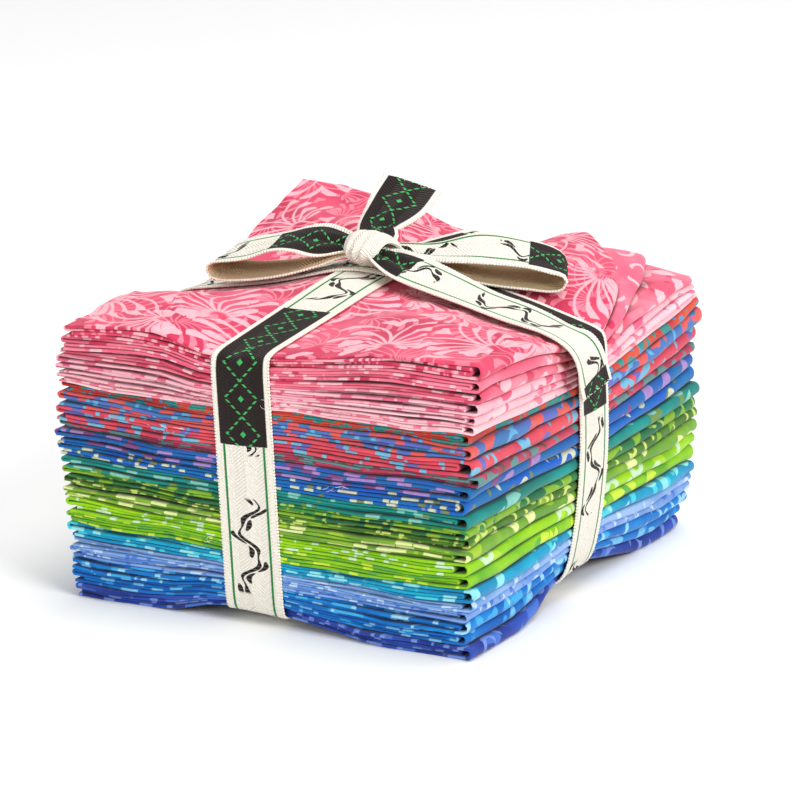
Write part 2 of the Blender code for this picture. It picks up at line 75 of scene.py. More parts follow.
def makeCamera():
    camera = bpy.data.cameras.new("photoCamera")
    camera.sensor_width = photo["sensor"]
    camera.lens = photo["focalPixels"] * photo["sensor"] / photo["size"]
    camera.shift_x = 0.5 - photo["targetPixel"][0] / photo["size"]
    camera.shift_y = photo["targetPixel"][1] / photo["size"] - 0.5
    azimuth, elevation = math.radians(photo["azimuth"]), math.radians(photo["elevation"])
    away = math.cos(elevation)
    back = Vector((math.sin(azimuth) * away, -math.cos(azimuth) * away, math.sin(elevation)))
    place = Vector(photo["target"]) + back * photo["distance"]
    bpy.context.scene.camera = aimed("photoCamera", camera, place)


studio = {
    "world": 0.28,
    "floorTone": 0.97,
    "floorRoughness": 0.9,
    "floorHalf": 4.0,
    # name, place, side, watts: all of them aim at the middle of the bundle
    "lamps": (
        ("topLamp", (0.2, 0.45, 2.4), 2.0, 48.0),
        ("sideLamp", (1.3, -0.5, 0.95), 0.8, 16.0),
        ("frontLamp", (-0.4, -1.5, 0.55), 0.9, 7.5),
    ),
}


def makeStudio():
    scene = bpy.context.scene
    scene.view_settings.view_transform = "Standard"
    world = bpy.data.worlds.new("studioWorld")
    world.use_nodes = True
    backdrop = world.node_tree.nodes["Background"]
    backdrop.inputs["Color"].default_value = (1.0, 1.0, 1.0, 1.0)
    backdrop.inputs["Strength"].default_value = studio["world"]
    scene.world = world
    for name, place, side, watts in studio["lamps"]:
        lamp = bpy.data.lights.new(name, "AREA")
        lamp.size = side
        lamp.energy = watts
        aimed(name, lamp, place)
    half = studio["floorHalf"]
    corners = [(-half, -half, 0), (half, -half, 0), (half, half, 0), (-half, half, 0)]
    mesh = bpy.data.meshes.new("floor")
    mesh.from_pydata(corners, [], [(0, 1, 2, 3)])
    paint = bpy.data.materials.new("floorPaper")
    paint.use_nodes = True
    shader = paint.node_tree.nodes["Principled BSDF"]
    shader.inputs["Base Color"].default_value = (*[studio["floorTone"]] * 3, 1.0)
    shader.inputs["Roughness"].default_value = studio["floorRoughness"]
    mesh.materials.append(paint)
    addObject("floor", mesh)


makeCamera()
makeStudio()
print("camera, floor and lamps ready")


# The stack that the cloths share, in millimetres: the same charts as the solids have

stack = {
    # a place well clear of both ribbons
    "clear": 60,
    "halfWidth": 70.0,
    "halfDepth": 76.0,
    "splitX": 38.0,
    "rows": (-76.0, -40.0, -8.0, 14.0, 45.0, 76.0),
    "shift": (-0.3, -2.1, 0.0),
    "ribbonZone": 10.0,
    "ribbonX": -3.4,
    "ribbonDrift": 0.086,
    "crossY": 3.0,
    "ribbonHalf": 9.0,
    "ribbonFade": 14.0,
    # how far edges are drawn in: from either end of the stack, and low at the right
    "endDraws": (2.4, 0.5, 0.0),
    "rightDrawShare": 0.5,
    "lowRightDraws": (3.0, 1.8, 1.0, 0.5, 0.0),
    "heldLeft": 3.0,
    "heldBack": 2.0,
    "drawnCorner": -2.0,
    "drawnShare": 0.3,
    "topChart": (
        (87.5, 89.5, 84.0, 85.5, 92.0, 92.5),
        (87.5, 91.0, 89.5, 90.0, 93.5, 91.0),
        (82.0, 88.0, 94.0, 94.0, 89.5, 82.0),
        (81.5, 88.5, 94.0, 94.0, 89.5, 81.5),
        (93.0, 95.0, 93.0, 92.5, 94.0, 89.0),
        (99.0, 98.5, 91.0, 89.5, 94.5, 88.5),
    ),
    "baseChart": (
        (0.0, 0.0, 3.8, 3.8, 0.0, 0.0),
        (0.0, 0.0, 3.8, 3.8, 0.0, 0.0),
        (4.2, 3.8, 3.8, 3.8, 3.8, 6.0),
        (4.2, 3.8, 3.8, 3.8, 3.8, 6.0),
        (0.0, 0.0, 3.8, 3.8, 0.0, 0.0),
        (0.0, 0.0, 3.8, 3.8, 0.0, 0.0),
    ),
    "lowTilt": {"level": 21.8, "across": (1.8, 0.6, -0.5, 0.0), "deep": (0.0, 1.0, 1.0, 0.3)},
    "highTilt": {"level": 69.0, "across": (-1.3, -2.6, -0.7, 0.0), "deep": (1.0, -1.0, -1.0, 7.0)},
    "upperCount": 6,
    "lowerCount": 6,
}


def pick(table, index):
    return np.take_along_axis(table, index[None], axis=0)[0]


def smoothThrough(marks, values, at):
    # a smooth curve through values at marks, straight beyond the ends
    marks = np.array([np.broadcast_to(mark, at.shape) for mark in marks], float)
    values = np.array([np.broadcast_to(value, at.shape) for value in values], float)
    slopes = np.empty_like(values)
    slopes[1:-1] = (values[2:] - values[:-2]) / (marks[2:] - marks[:-2])
    slopes[0] = (values[1] - values[0]) / (marks[1] - marks[0])
    slopes[-1] = (values[-1] - values[-2]) / (marks[-1] - marks[-2])
    index = np.clip((at[None] > marks[1:-1]).sum(axis=0), 0, len(marks) - 2)
    (start, startSlope), (end, endSlope) = (
        [pick(table, index + k) for table in (values, slopes)] for k in (0, 1)
    )
    span = pick(marks, index + 1) - pick(marks, index)
    raw = (at - pick(marks, index)) / span
    t = np.clip(raw, 0.0, 1.0)
    curve = (
        (2 * t**3 - 3 * t**2 + 1) * start
        + (t**3 - 2 * t**2 + t) * span * startSlope
        + (3 * t**2 - 2 * t**3) * end
        + (t**3 - t**2) * span * endSlope
    )
    return curve + (raw - t) * span * np.where(raw < t, startSlope, endSlope)


def softNoise(x, y, seed, size):
    # crossing waves of about one size, which never repeat on the bundle
    picker = random.Random(seed)
    total = 0.0
    for _ in range(6):
        angle = picker.uniform(0, tau)
        wave = picker.uniform(0.6, 1.7) * tau / size
        along = x * math.cos(angle) + y * math.sin(angle)
        total = total + np.sin(wave * along + picker.uniform(0, tau))
    return total / 3.0


def ribbonLine(y):
    return stack["ribbonX"] + stack["ribbonDrift"] * y


def columnMarks(y):
    middle = ribbonLine(y)
    zone, split, half = stack["ribbonZone"], stack["splitX"], stack["halfWidth"]
    return (-half, -split, middle - zone, middle + zone, split, half)


def chartHeights(x, y):
    # heights of levels 0 to 3 at each point
    columns, rows = columnMarks(y), stack["rows"]

    def fromChart(chart):
        return smoothThrough(rows, [smoothThrough(columns, row, x) for row in chart], y)

    def fromTilt(tilt):
        across, deep = ([marks[i] for i in (0, 2, 3, 5)] for marks in (columns, rows))
        across = smoothThrough(across, tilt["across"], x)
        return tilt["level"] + across + smoothThrough(deep, tilt["deep"], y)

    low, high = fromTilt(stack["lowTilt"]), fromTilt(stack["highTilt"])
    return np.stack([fromChart(stack["baseChart"]), low, high, fromChart(stack["topChart"])])


def levelHeight(heights, level):
    index = np.clip(np.floor(level).astype(int), 0, 2)
    low, high = pick(heights, index), pick(heights, index + 1)
    return low + (high - low) * (level - index)


def eased(value, low, high):
    t = np.clip((value - low) / (high - low), 0.0, 1.0)
    return t * t * (3 - 2 * t)


def freeOfRibbons(x, y):
    # 0 under a ribbon and 1 well away from both
    nearest = np.minimum(np.abs(x - ribbonLine(y)), np.abs(y - stack["crossY"]))
    return eased(nearest, stack["ribbonHalf"], stack["ribbonHalf"] + stack["ribbonFade"])


relief = {
    "swell": 0.9,
    "swellSize": 42.0,
    "pull": 1.0,
    "pullReach": 16.0,
    "pullSize": 15.0,
    "crease": 0.8,
    "creaseSize": 34.0,
    "creaseWidth": 0.16,
    "ribbonHalf": 9.5,
    # soft rises: x, y, reach and height
    "puffs": (
        (-52.0, -52.0, 20.0, 1.7),
        (34.0, -46.0, 26.0, 0.6),
        (-44.0, 40.0, 22.0, 0.9),
        (54.0, 18.0, 9.0, 1.5),
    ),
}


def topRelief(x, y):
    # the top cloth swells between the ribbons and is drawn into short folds beside them
    height = relief["swell"] * softNoise(x, y, 13, relief["swellSize"])
    pulls = 0.0
    sides = ((x - ribbonLine(y), softNoise(x * 0.3, y, 11, relief["pullSize"])),)
    sides += ((y - stack["crossY"], softNoise(x, y * 0.3, 12, relief["pullSize"])),)
    for distance, folds in sides:
        past = np.abs(distance) - relief["ribbonHalf"]
        pulls = pulls + np.exp(-np.clip(past, 0, None) / relief["pullReach"]) * (past > -1) * folds
    height = height + relief["pull"] * pulls
    # creases: narrow ridges along the lines where a slow wave changes sign
    crossing = softNoise(x, y * 0.7, 14, relief["creaseSize"]) / relief["creaseWidth"]
    height = height + relief["crease"] * np.exp(-(crossing**2))
    for px, py, reach, rise in relief["puffs"]:
        height = height + rise * np.exp(-(((x - px) ** 2 + (y - py) ** 2) / reach**2))
    return freeOfRibbons(x, y) * height


# The prints, as sRGB: ground, its second shade, and up to two inks with their motifs

clothColumns = (
    "pitch", "left", "near", "far", "front", "back",
    "ground", "shade", "ink", "inkTwo", "motif", "motifTwo",
)
clothRows = (
    (4.4, 1.4, 2.6, -34.0, 0.6, 1.0, (228, 74, 108), (198, 40, 80),
     (252, 178, 189), (242, 128, 150), ("plume", 30.0, 0.68), ("plume", 23.0, 0.56)),
    (3.9, 3.2, 1.8, -16.0, 0.9, 2.0, (245, 134, 156), (232, 98, 128),
     (252, 192, 202), (200, 40, 80), ("arc", 13.0, 0.5), ("blotch", 15.0, 0.63)),
    (3.3, 4.0, 1.8, 0.4, -0.2, 1.5, (243, 136, 156), (224, 84, 114),
     (252, 190, 200), (210, 56, 92), ("leaf", 15.0, 0.5), ("blotch", 12.0, 0.6)),
    (3.9, 4.8, 1.2, 0.8, 0.7, 2.5, (249, 192, 202), (246, 168, 184),
     (228, 90, 128), (240, 136, 162), ("leaf", 12.0, 0.55), ("blotch", 10.0, 0.6)),
    (2.9, 5.6, 0.4, 1.6, -0.3, 2.0, (250, 206, 213), (247, 184, 197),
     (236, 116, 148), (244, 156, 176), ("arc", 13.0, 0.5), ("blotch", 10.0, 0.66)),
    (2.9, 5.8, 0.0, 1.2, 0.3, 3.5, (250, 206, 211), (247, 182, 193),
     (234, 120, 148), (243, 154, 172), ("dot", 9.0, 0.6), ("blotch", 12.0, 0.66)),
    (3.0, 4.6, -3.0, 2.0, -0.8, 4.5, (214, 80, 54), (186, 54, 52),
     (0, 142, 136), (52, 150, 196), ("blotch", 9.0, 0.54), ("dot", 8.0, 0.6)),
    (4.6, 5.0, -1.0, 2.6, 0.4, 5.5, (92, 104, 188), (50, 122, 178),
     (226, 88, 80), (96, 176, 214), ("blotch", 10.0, 0.5), ("arc", 12.0, 0.5)),
    (5.0, 5.0, -0.4, 1.0, 0.8, 5.0, (228, 84, 96), (204, 58, 88),
     (104, 184, 214), (86, 106, 186), ("blotch", 7.0, 0.56), ("dot", 13.0, 0.62)),
    (2.9, 4.4, 0.6, 0.6, -0.6, 3.5, (206, 66, 96), (146, 54, 80),
     (86, 140, 140), (92, 78, 72), ("blotch", 9.0, 0.54), ("leaf", 10.0, 0.42)),
    (4.6, 5.0, -1.6, 1.4, 0.5, 4.0, (26, 92, 178), (10, 104, 168),
     (168, 132, 196), (132, 66, 122), ("leaf", 15.0, 0.62), ("blotch", 12.0, 0.58)),
    (4.5, 5.0, -2.6, 1.0, 0.2, 4.5, (8, 92, 196), (0, 108, 176),
     (214, 218, 188), (116, 132, 72), ("arc", 13.0, 0.72), ("dot", 11.0, 0.45)),
    (4.0, 3.2, -1.8, 2.0, 0.6, 5.5, (0, 148, 140), (16, 122, 112),
     (128, 200, 186), (112, 140, 56), ("leaf", 16.0, 0.5), ("blotch", 12.0, 0.62)),
    (3.5, 3.4, -2.2, 1.8, -0.4, 5.0, (52, 140, 62), (24, 104, 66),
     (132, 178, 40), (176, 204, 96), ("blotch", 12.0, 0.5), ("arc", 10.0, 0.45)),
    (2.9, 3.9, -2.4, 1.2, -0.7, 4.5, (88, 136, 42), (62, 112, 34),
     (206, 222, 116), (132, 180, 40), ("arc", 9.0, 0.6), ("blotch", 12.0, 0.56)),
    (4.0, 3.0, -1.8, 2.2, 0.3, 5.5, (134, 182, 40), (98, 152, 46),
     (228, 236, 160), (164, 202, 44), ("leaf", 13.0, 0.7), ("blotch", 14.0, 0.58)),
    (4.0, 2.2, -1.4, 1.6, 0.7, 5.0, (160, 216, 6), (130, 194, 10),
     (204, 234, 196), (176, 218, 40), ("arc", 14.0, 0.62), ("blotch", 16.0, 0.6)),
    (4.3, 2.0, -1.0, 1.0, 0.1, 4.0, (146, 206, 18), (102, 174, 34),
     (206, 232, 60), (90, 170, 70), ("leaf", 12.0, 0.55), ("blotch", 14.0, 0.6)),
    (4.0, 1.8, 0.0, 2.2, 0.6, 4.5, (0, 166, 204), (0, 134, 186),
     (146, 226, 236), (70, 206, 226), ("leaf", 14.0, 0.5), ("blotch", 12.0, 0.58)),
    (2.8, 1.0, -1.0, 1.0, -0.9, 3.0, (150, 184, 230), (112, 158, 218),
     (196, 220, 244), (146, 184, 234), ("dot", 8.0, 0.55), ("blotch", 10.0, 0.58)),
    (3.0, 1.4, -1.6, 0.6, 0.2, 2.5, (136, 172, 228), (96, 144, 214),
     (72, 122, 212), (194, 218, 246), ("dot", 6.5, 0.55), ("leaf", 11.0, 0.45)),
    (4.0, 0.6, -2.2, 0.2, 0.7, 1.5, (0, 134, 214), (0, 104, 190),
     (156, 214, 242), (60, 176, 234), ("arc", 13.0, 0.55), ("blotch", 13.0, 0.58)),
    (3.6, -0.2, -2.4, -0.6, -0.3, 0.5, (4, 124, 208), (0, 94, 180),
     (120, 196, 238), (44, 160, 230), ("leaf", 14.0, 0.5), ("blotch", 12.0, 0.6)),
    (4.2, -1.0, -0.6, -1.4, 0.4, -0.5, (42, 80, 178), (26, 50, 142),
     (118, 148, 220), (70, 116, 206), ("arc", 13.0, 0.55), ("blotch", 14.0, 0.58)),
)
cloths = [dict(zip(clothColumns, row)) for row in clothRows]


def stackLevels():
    upper, lower = stack["upperCount"], len(cloths) - stack["lowerCount"]
    levels = []
    for part, floor in ((cloths[:upper], 2), (cloths[upper:lower], 1), (cloths[lower:], 0)):
        total = sum(cloth["pitch"] for cloth in part)
        top = floor + 1.0
        for cloth in part:
            bottom = top - cloth["pitch"] / total
            levels.append((bottom, top))
            top = bottom
    return levels


# Node helpers


def srgb(colour):
    linear = []
    for value in colour:
        share = value / 255
        linear.append(share / 12.92 if share <= 0.04045 else ((share + 0.055) / 1.055) ** 2.4)
    return (*linear, 1.0)


class wire:
    # a node's output socket: arithmetic with it adds Math nodes
    def __init__(self, socket):
        self.socket = socket
        self.tree = socket.id_data

    def also(self, output):
        return wire(self.socket.node.outputs[output])

    def __add__(self, other):
        return calc("ADD", self, other)

    def __sub__(self, other):
        return calc("SUBTRACT", self, other)

    def __rsub__(self, other):
        return calc("SUBTRACT", other, self)

    def __mul__(self, other):
        return calc("MULTIPLY", self, other)

    def __truediv__(self, other):
        return calc("DIVIDE", self, other)

    def __pow__(self, other):
        return calc("POWER", self, other)

    def __abs__(self):
        return calc("ABSOLUTE", self)

    __radd__ = __add__
    __rmul__ = __mul__


def plug(socket, value):
    if isinstance(value, wire):
        socket.id_data.links.new(value.socket, socket)
    else:
        socket.default_value = value


def addNode(tree, kind, inputs, output=0, **settings):
    # a node with its settings and its inputs by name or place, and the wanted output
    node = tree.nodes.new(kind)
    for name, value in settings.items():
        setattr(node, name, value)
    for key, value in inputs.items():
        plug(node.inputs[key], value)
    return wire(node.outputs[output])


def calc(operation, *values):
    tree = next(value.tree for value in values if isinstance(value, wire))
    return addNode(tree, "ShaderNodeMath", dict(enumerate(values)), operation=operation)


def vectorCalc(operation, first, second):
    return addNode(first.tree, "ShaderNodeVectorMath", {0: first, 1: second}, operation=operation)


def smoothStep(value, low, high):
    inputs = {"Value": value, "From Min": low, "From Max": high}
    return addNode(value.tree, "ShaderNodeMapRange", inputs, interpolation_type="SMOOTHSTEP")


def mixColours(factor, first, second):
    # places 0, 6 and 7 of a Mix node: the factor and two colours
    inputs = {0: factor, 6: first, 7: second}
    return addNode(factor.tree, "ShaderNodeMix", inputs, 2, data_type="RGBA")


def noiseAt(vector, scale, detail):
    inputs = {"Vector": vector, "Scale": scale, "Detail": detail}
    return addNode(vector.tree, "ShaderNodeTexNoise", inputs)


def splitVector(vector):
    first = addNode(vector.tree, "ShaderNodeSeparateXYZ", {0: vector})
    return first, first.also(1), first.also(2)


def newGroup(name, inputs, outputs, kind="ShaderNodeTree"):
    # rows of a label and a socket type, and a first value where it matters
    tree = bpy.data.node_groups.new(name, kind)
    for way, rows in (("INPUT", inputs), ("OUTPUT", outputs)):
        for label, data, *value in rows:
            socket = tree.interface.new_socket(label, in_out=way, socket_type="NodeSocket" + data)
            if value:
                socket.default_value = value[0]
    start = tree.nodes.new("NodeGroupInput").outputs
    end = tree.nodes.new("NodeGroupOutput").inputs
    return tree, {socket.name: wire(socket) for socket in start}, end


def useGroup(tree, group, **values):
    first = addNode(tree, "ShaderNodeGroup", values, node_tree=group)
    return {socket.name: wire(socket) for socket in first.socket.node.outputs}


def newMaterial(name):
    material = bpy.data.materials.new(name)
    material.use_nodes = True
    return material, material.node_tree


def finishMaterial(material, colour, height, looks):
    surface = material.node_tree.nodes["Principled BSDF"].inputs
    plug(surface["Base Color"], colour)
    for label, value in looks["surface"].items():
        surface[label].default_value = value
    inputs = {"Strength": looks["bump"], "Distance": looks["bumpDepth"], "Height": height}
    plug(surface["Normal"], addNode(material.node_tree, "ShaderNodeBump", inputs))
    return material


# Print motifs: each group takes millimetres on the flat cloth and gives a mask

motifInputs = (
    ("Vector", "Vector"),
    ("Size", "Float", 12.0),
    ("Amount", "Float", 0.5),
    ("Seed", "Float", 0.0),
)


def motifCells(start, randomness):
    # scattered centres: the place around each one, turned by its own angle
    tree = start["Vector"].tree
    apart = {0: start["Seed"] * 7.31, 1: start["Seed"] * 3.17}
    scaled = vectorCalc("DIVIDE", start["Vector"], start["Size"])
    moved = vectorCalc("ADD", scaled, addNode(tree, "ShaderNodeCombineXYZ", apart))
    inputs = {"Vector": moved, "Scale": 1.0, "Randomness": randomness}
    centre = addNode(tree, "ShaderNodeTexVoronoi", inputs, "Position", voronoi_dimensions="2D")
    angle, chance, _ = splitVector(centre.also("Color"))
    inputs = {"Vector": vectorCalc("SUBTRACT", moved, centre), "Angle": angle * tau}
    x, y, _ = splitVector(addNode(tree, "ShaderNodeVectorRotate", inputs, rotation_type="Z_AXIS"))
    return x, y, calc("SQRT", x**2.0 + y**2.0), chance


# Lengths in a motif are shares of its cell
motifShapes = {
    "plume": {
        "root": 0.42,
        "curl": 0.75,
        "apart": 0.3,
        "strokes": 6.5,
        "reach": 0.92,
        "shorter": 0.1,
        "uneven": 0.09,
        "width": 0.017,
        "club": 0.036,
        "clubLength": 0.32,
        "tip": 0.05,
        "rootFade": (0.05, 0.12),
        "soft": 0.014,
    },
    "arc": {"ring": 0.33, "taper": (-0.75, 0.35), "width": 0.2, "soft": 0.03, "bare": 0.12},
    "leaf": {"bend": 0.6, "half": 0.46, "width": 0.42, "soft": 0.035, "bare": 0.1},
    "dot": {"squash": 2.6, "spread": 0.45, "least": 0.25, "soft": 0.05},
    "blotch": {"soft": 0.03},
}


def plumeMask(start):
    # palmettes: strokes that spring from one point, curl outwards and swell towards their tips
    plume = motifShapes["plume"]
    x, y, _, chance = motifCells(start, 0.75)
    fromBase = x + plume["root"]
    radius = calc("SQRT", fromBase**2.0 + y**2.0)
    angle = abs(calc("ARCTAN2", y, fromBase))
    curled = angle - radius**2.0 * plume["curl"]
    stroke = calc("ROUND", curled / plume["apart"])
    away = abs(curled - stroke * plume["apart"]) * radius
    uneven = calc("SINE", stroke * 2.4 + chance * 9.0) * plume["uneven"]
    reach = plume["reach"] - abs(stroke) * plume["shorter"] + uneven
    swell = smoothStep(radius, reach - plume["clubLength"], reach - 0.06)
    tip = 1.0 - smoothStep(radius, reach - plume["tip"], reach)
    width = (plume["width"] + swell * plume["club"]) * tip * (start["Amount"] * 2.0)
    root = smoothStep(radius, *plume["rootFade"])
    inside = smoothStep(width - away, 0.0, plume["soft"])
    return inside * root * calc("LESS_THAN", abs(stroke), plume["strokes"])


def arcMask(start):
    # open rings with tapering ends
    arc = motifShapes["arc"]
    x, _, radius, chance = motifCells(start, 0.9)
    taper = smoothStep(x / calc("MAXIMUM", radius, 0.01), *arc["taper"])
    inside = taper * start["Amount"] * arc["width"] - abs(radius - arc["ring"])
    return smoothStep(inside, 0.0, arc["soft"]) * calc("GREATER_THAN", chance, arc["bare"])


def leafMask(start):
    # pointed leaves, every one turned its own way
    leaf = motifShapes["leaf"]
    x, y, _, chance = motifCells(start, 0.9)
    bent = y + x**2.0 * leaf["bend"]
    along = (x / leaf["half"]) ** 2.0
    inside = (1.0 - along) * start["Amount"] * leaf["width"] - abs(bent)
    return smoothStep(inside, 0.0, leaf["soft"]) * calc("GREATER_THAN", chance, leaf["bare"])


def dotMask(start):
    # soft oval spots
    dot = motifShapes["dot"]
    x, y, _, chance = motifCells(start, 0.95)
    oval = calc("SQRT", x**2.0 + y**2.0 * dot["squash"])
    size = (chance * dot["spread"] + dot["least"]) * start["Amount"]
    return smoothStep(size - oval, 0.0, dot["soft"])


def blotchMask(start):
    # patches of dye with a fairly crisp edge
    scaled = vectorCalc("DIVIDE", start["Vector"], start["Size"])
    patches = noiseAt(vectorCalc("ADD", scaled, start["Seed"]), 1.0, 1.0)
    return smoothStep(patches, start["Amount"], start["Amount"] + motifShapes["blotch"]["soft"])


def motifGroup(name, drawMask):
    tree, start, end = newGroup(name + "Motif", motifInputs, (("Mask", "Float"),))
    plug(end["Mask"], drawMask(start))
    return tree


motifGroups = {
    name: motifGroup(name, drawMask)
    for name, drawMask in (
        ("plume", plumeMask),
        ("arc", arcMask),
        ("leaf", leafMask),
        ("dot", dotMask),
        ("blotch", blotchMask),
    )
}


clothFinish = {
    "surface": {
        "Roughness": 0.82,
        "Specular IOR Level": 0.25,
        "Sheen Weight": 0.22,
        "Sheen Roughness": 0.45,
    },
    "bump": 0.22,
    "bumpDepth": 0.00012,
    "weavePitch": 0.42,
    "foldShade": 0.88,
    "lowerMotifs": 0.74,
    "turns": (0.0, 0.35, -0.35, 0.8),
}


clothInks = ("Ground", "Shade", "Ink", "InkTwo")


def dyeGroup():
    # hand-dyed ground, two inks, and the small cloudiness of each, darkened by painted shade inside
    # the folds
    grey = (0.5, 0.5, 0.5, 1.0)
    inputs = [("Vector", "Vector")]
    inputs += [(label, "Color", grey) for label in clothInks]
    inputs += [(label, "Float", 0.0) for label in ("Mask", "MaskTwo", "Depth")]
    tree, start, end = newGroup("dyedPrint", inputs, (("Color", "Color"),))
    cloud = smoothStep(noiseAt(start["Vector"], 0.05, 3.0), 0.35, 0.65)
    fine = noiseAt(start["Vector"], 0.45, 2.0)
    ground = mixColours(cloud, start["Ground"], start["Shade"])
    second = mixColours(start["MaskTwo"] * 0.92, ground, start["InkTwo"])
    cover = start["Mask"] * calc("MINIMUM", 0.72 + fine * 0.45, 1.0)
    printed = mixColours(cover, second, start["Ink"])
    # painted shade: the colour gets darker deep in the gaps between the layers
    tone = (0.93 + fine * 0.12) * (1.0 - start["Depth"] * clothFinish["foldShade"])
    inputs = {0: printed, "Scale": tone}
    plug(end["Color"], addNode(tree, "ShaderNodeVectorMath", inputs, operation="SCALE"))
    return tree


def weaveGroup():
    # plain weave: threads over and under each other
    inputs = (("Vector", "Vector"), ("Pitch", "Float", 0.42))
    tree, start, end = newGroup("plainWeave", inputs, (("Height", "Float"),))
    x, y, _ = splitVector(start["Vector"])
    warp, weft = (calc("SINE", axis / start["Pitch"] * tau) for axis in (x, y))
    plug(end["Height"], warp * weft * 0.5 + noiseAt(start["Vector"], 0.8, 2.0))
    return tree


dyedPrint = dyeGroup()
plainWeave = weaveGroup()

def flatMillimetres(tree, uvName, turn=0.0, start=(0.0, 0.0)):
    uv = addNode(tree, "ShaderNodeUVMap", {}, uv_map=uvName)
    inputs = {"Vector": uv, "Scale": (1000.0, 1000.0, 1.0), "Rotation": (0.0, 0.0, turn)}
    return addNode(tree, "ShaderNodeMapping", {**inputs, "Location": (*start, 0.0)})


def clothMaterial(index):
    cloth = cloths[index]
    picker = random.Random(index + 40)
    material, tree = newMaterial(f"printedCotton{index + 1:02d}")
    turn = picker.choice(clothFinish["turns"])
    flat = flatMillimetres(tree, "flatCloth", turn, (picker.uniform(0, 90), picker.uniform(0, 90)))
    inputs = {label: srgb(cloth[label[0].lower() + label[1:]]) for label in clothInks}
    scale = clothFinish["lowerMotifs"] if index else 1.0
    for label, motif in (("Mask", cloth["motif"]), ("MaskTwo", cloth["motifTwo"])):
        kind, size, amount = motif
        seed = float(picker.randint(1, 60))
        looks = {"Size": size * scale, "Amount": amount, "Seed": seed}
        inputs[label] = useGroup(tree, motifGroups[kind], Vector=flat, **looks)["Mask"]
    # painted shade between the layers, read from the mesh
    inputs["Depth"] = addNode(tree, "ShaderNodeAttribute", {}, "Fac", attribute_name="paintedFoldShade")
    dyed = useGroup(tree, dyedPrint, Vector=flat, **inputs)
    weave = useGroup(tree, plainWeave, Vector=flat, Pitch=clothFinish["weavePitch"])
    return finishMaterial(material, dyed["Color"], weave["Height"], clothFinish)


# Mesh helpers


def gridMesh(name, points, flat, uvName):
    # points and flat places in millimetres, both as rows by columns
    rows, columns = points.shape[:2]
    number = np.arange(rows * columns).reshape(rows, columns)
    quads = (number[:-1, :-1], number[1:, :-1], number[1:, 1:], number[:-1, 1:])
    quads = np.stack(quads, axis=-1).reshape(-1, 4)
    placed = (points + np.array(stack["shift"])) * mm
    mesh = bpy.data.meshes.new(name)
    mesh.from_pydata(placed.reshape(-1, 3).tolist(), [], quads.tolist())
    places = flat.reshape(-1, 2)[quads.ravel()] * mm
    layer = mesh.uv_layers.new(name=uvName)
    layer.data.foreach_set("uv", places.astype(np.float32).ravel())
    return mesh


def setValues(mesh, name, values):
    # one number for each point, for the material to read
    layer = mesh.attributes.new(name, "FLOAT", "POINT")
    layer.data.foreach_set("value", np.asarray(values, np.float32).ravel())


def plainMesh(holder, name, smoothAngle=50):
    # the evaluated shape as an object of its own, without its modifiers
    graph = bpy.context.evaluated_depsgraph_get()
    shown = holder.evaluated_get(graph)
    mesh = bpy.data.meshes.new_from_object(shown, preserve_all_data_layers=True, depsgraph=graph)
    bpy.data.objects.remove(holder, do_unlink=True)
    mesh.name = name
    mesh.shade_smooth()
    mesh.set_sharp_from_angle(angle=math.radians(smoothAngle))
    return addObject(name, mesh)


def thickSheet(name, mesh, thickness, *materials):
    # a second material goes on the side that the faces look away from
    for material in materials:
        mesh.materials.append(material)
    holder = addObject(name, mesh)
    wall = holder.modifiers.new("thickness", "SOLIDIFY")
    wall.thickness = thickness * mm
    wall.offset = 0.0
    wall.material_offset = len(materials) - 1
    return plainMesh(holder, name)


def growthTree(name, inputs, makeInstance):
    # copies of one small shape at one distance along each line, ending in real geometry
    geometry = ("Geometry", "Geometry")
    inputs = (geometry, *inputs, ("Seed", "Int"), ("Material", "Material"))
    tree, start, end = newGroup(name, inputs, (geometry,), "GeometryNodeTree")
    line = addNode(tree, "GeometryNodeMeshToCurve", {0: start["Geometry"]})
    inputs = {"Curve": line, "Length": start["Pitch"]}
    points = addNode(tree, "GeometryNodeResampleCurve", inputs, mode="LENGTH")
    tangent = addNode(tree, "GeometryNodeInputTangent", {})
    turned = addNode(tree, "FunctionNodeAlignRotationToVector", {"Vector": tangent}, axis="X")
    inputs = {"Points": points, **makeInstance(tree, start, turned)}
    placed = addNode(tree, "GeometryNodeInstanceOnPoints", inputs)
    real = addNode(tree, "GeometryNodeRealizeInstances", {0: placed})
    inputs = {"Geometry": real, "Material": start["Material"]}
    plug(end[0], addNode(tree, "GeometryNodeSetMaterial", inputs))
    return tree


def randomVector(seed, low, high):
    inputs = {"Min": low, "Max": high, "Seed": seed}
    return addNode(seed.tree, "FunctionNodeRandomValue", inputs, "Value", data_type="FLOAT_VECTOR")


def weftLoop(tree, start, turned):
    # the small bump that the weft makes where it turns at the edge of a tape
    inputs = {"Segments": 6, "Rings": 4, "Radius": start["Radius"]}
    bead = addNode(tree, "GeometryNodeMeshUVSphere", inputs, "Mesh")
    smooth = addNode(tree, "GeometryNodeSetShadeSmooth", {0: bead})
    scale = randomVector(start["Seed"], (1.15, 0.85, 0.8), (1.45, 1.15, 1.0))
    return {"Instance": smooth, "Rotation": turned, "Scale": scale}


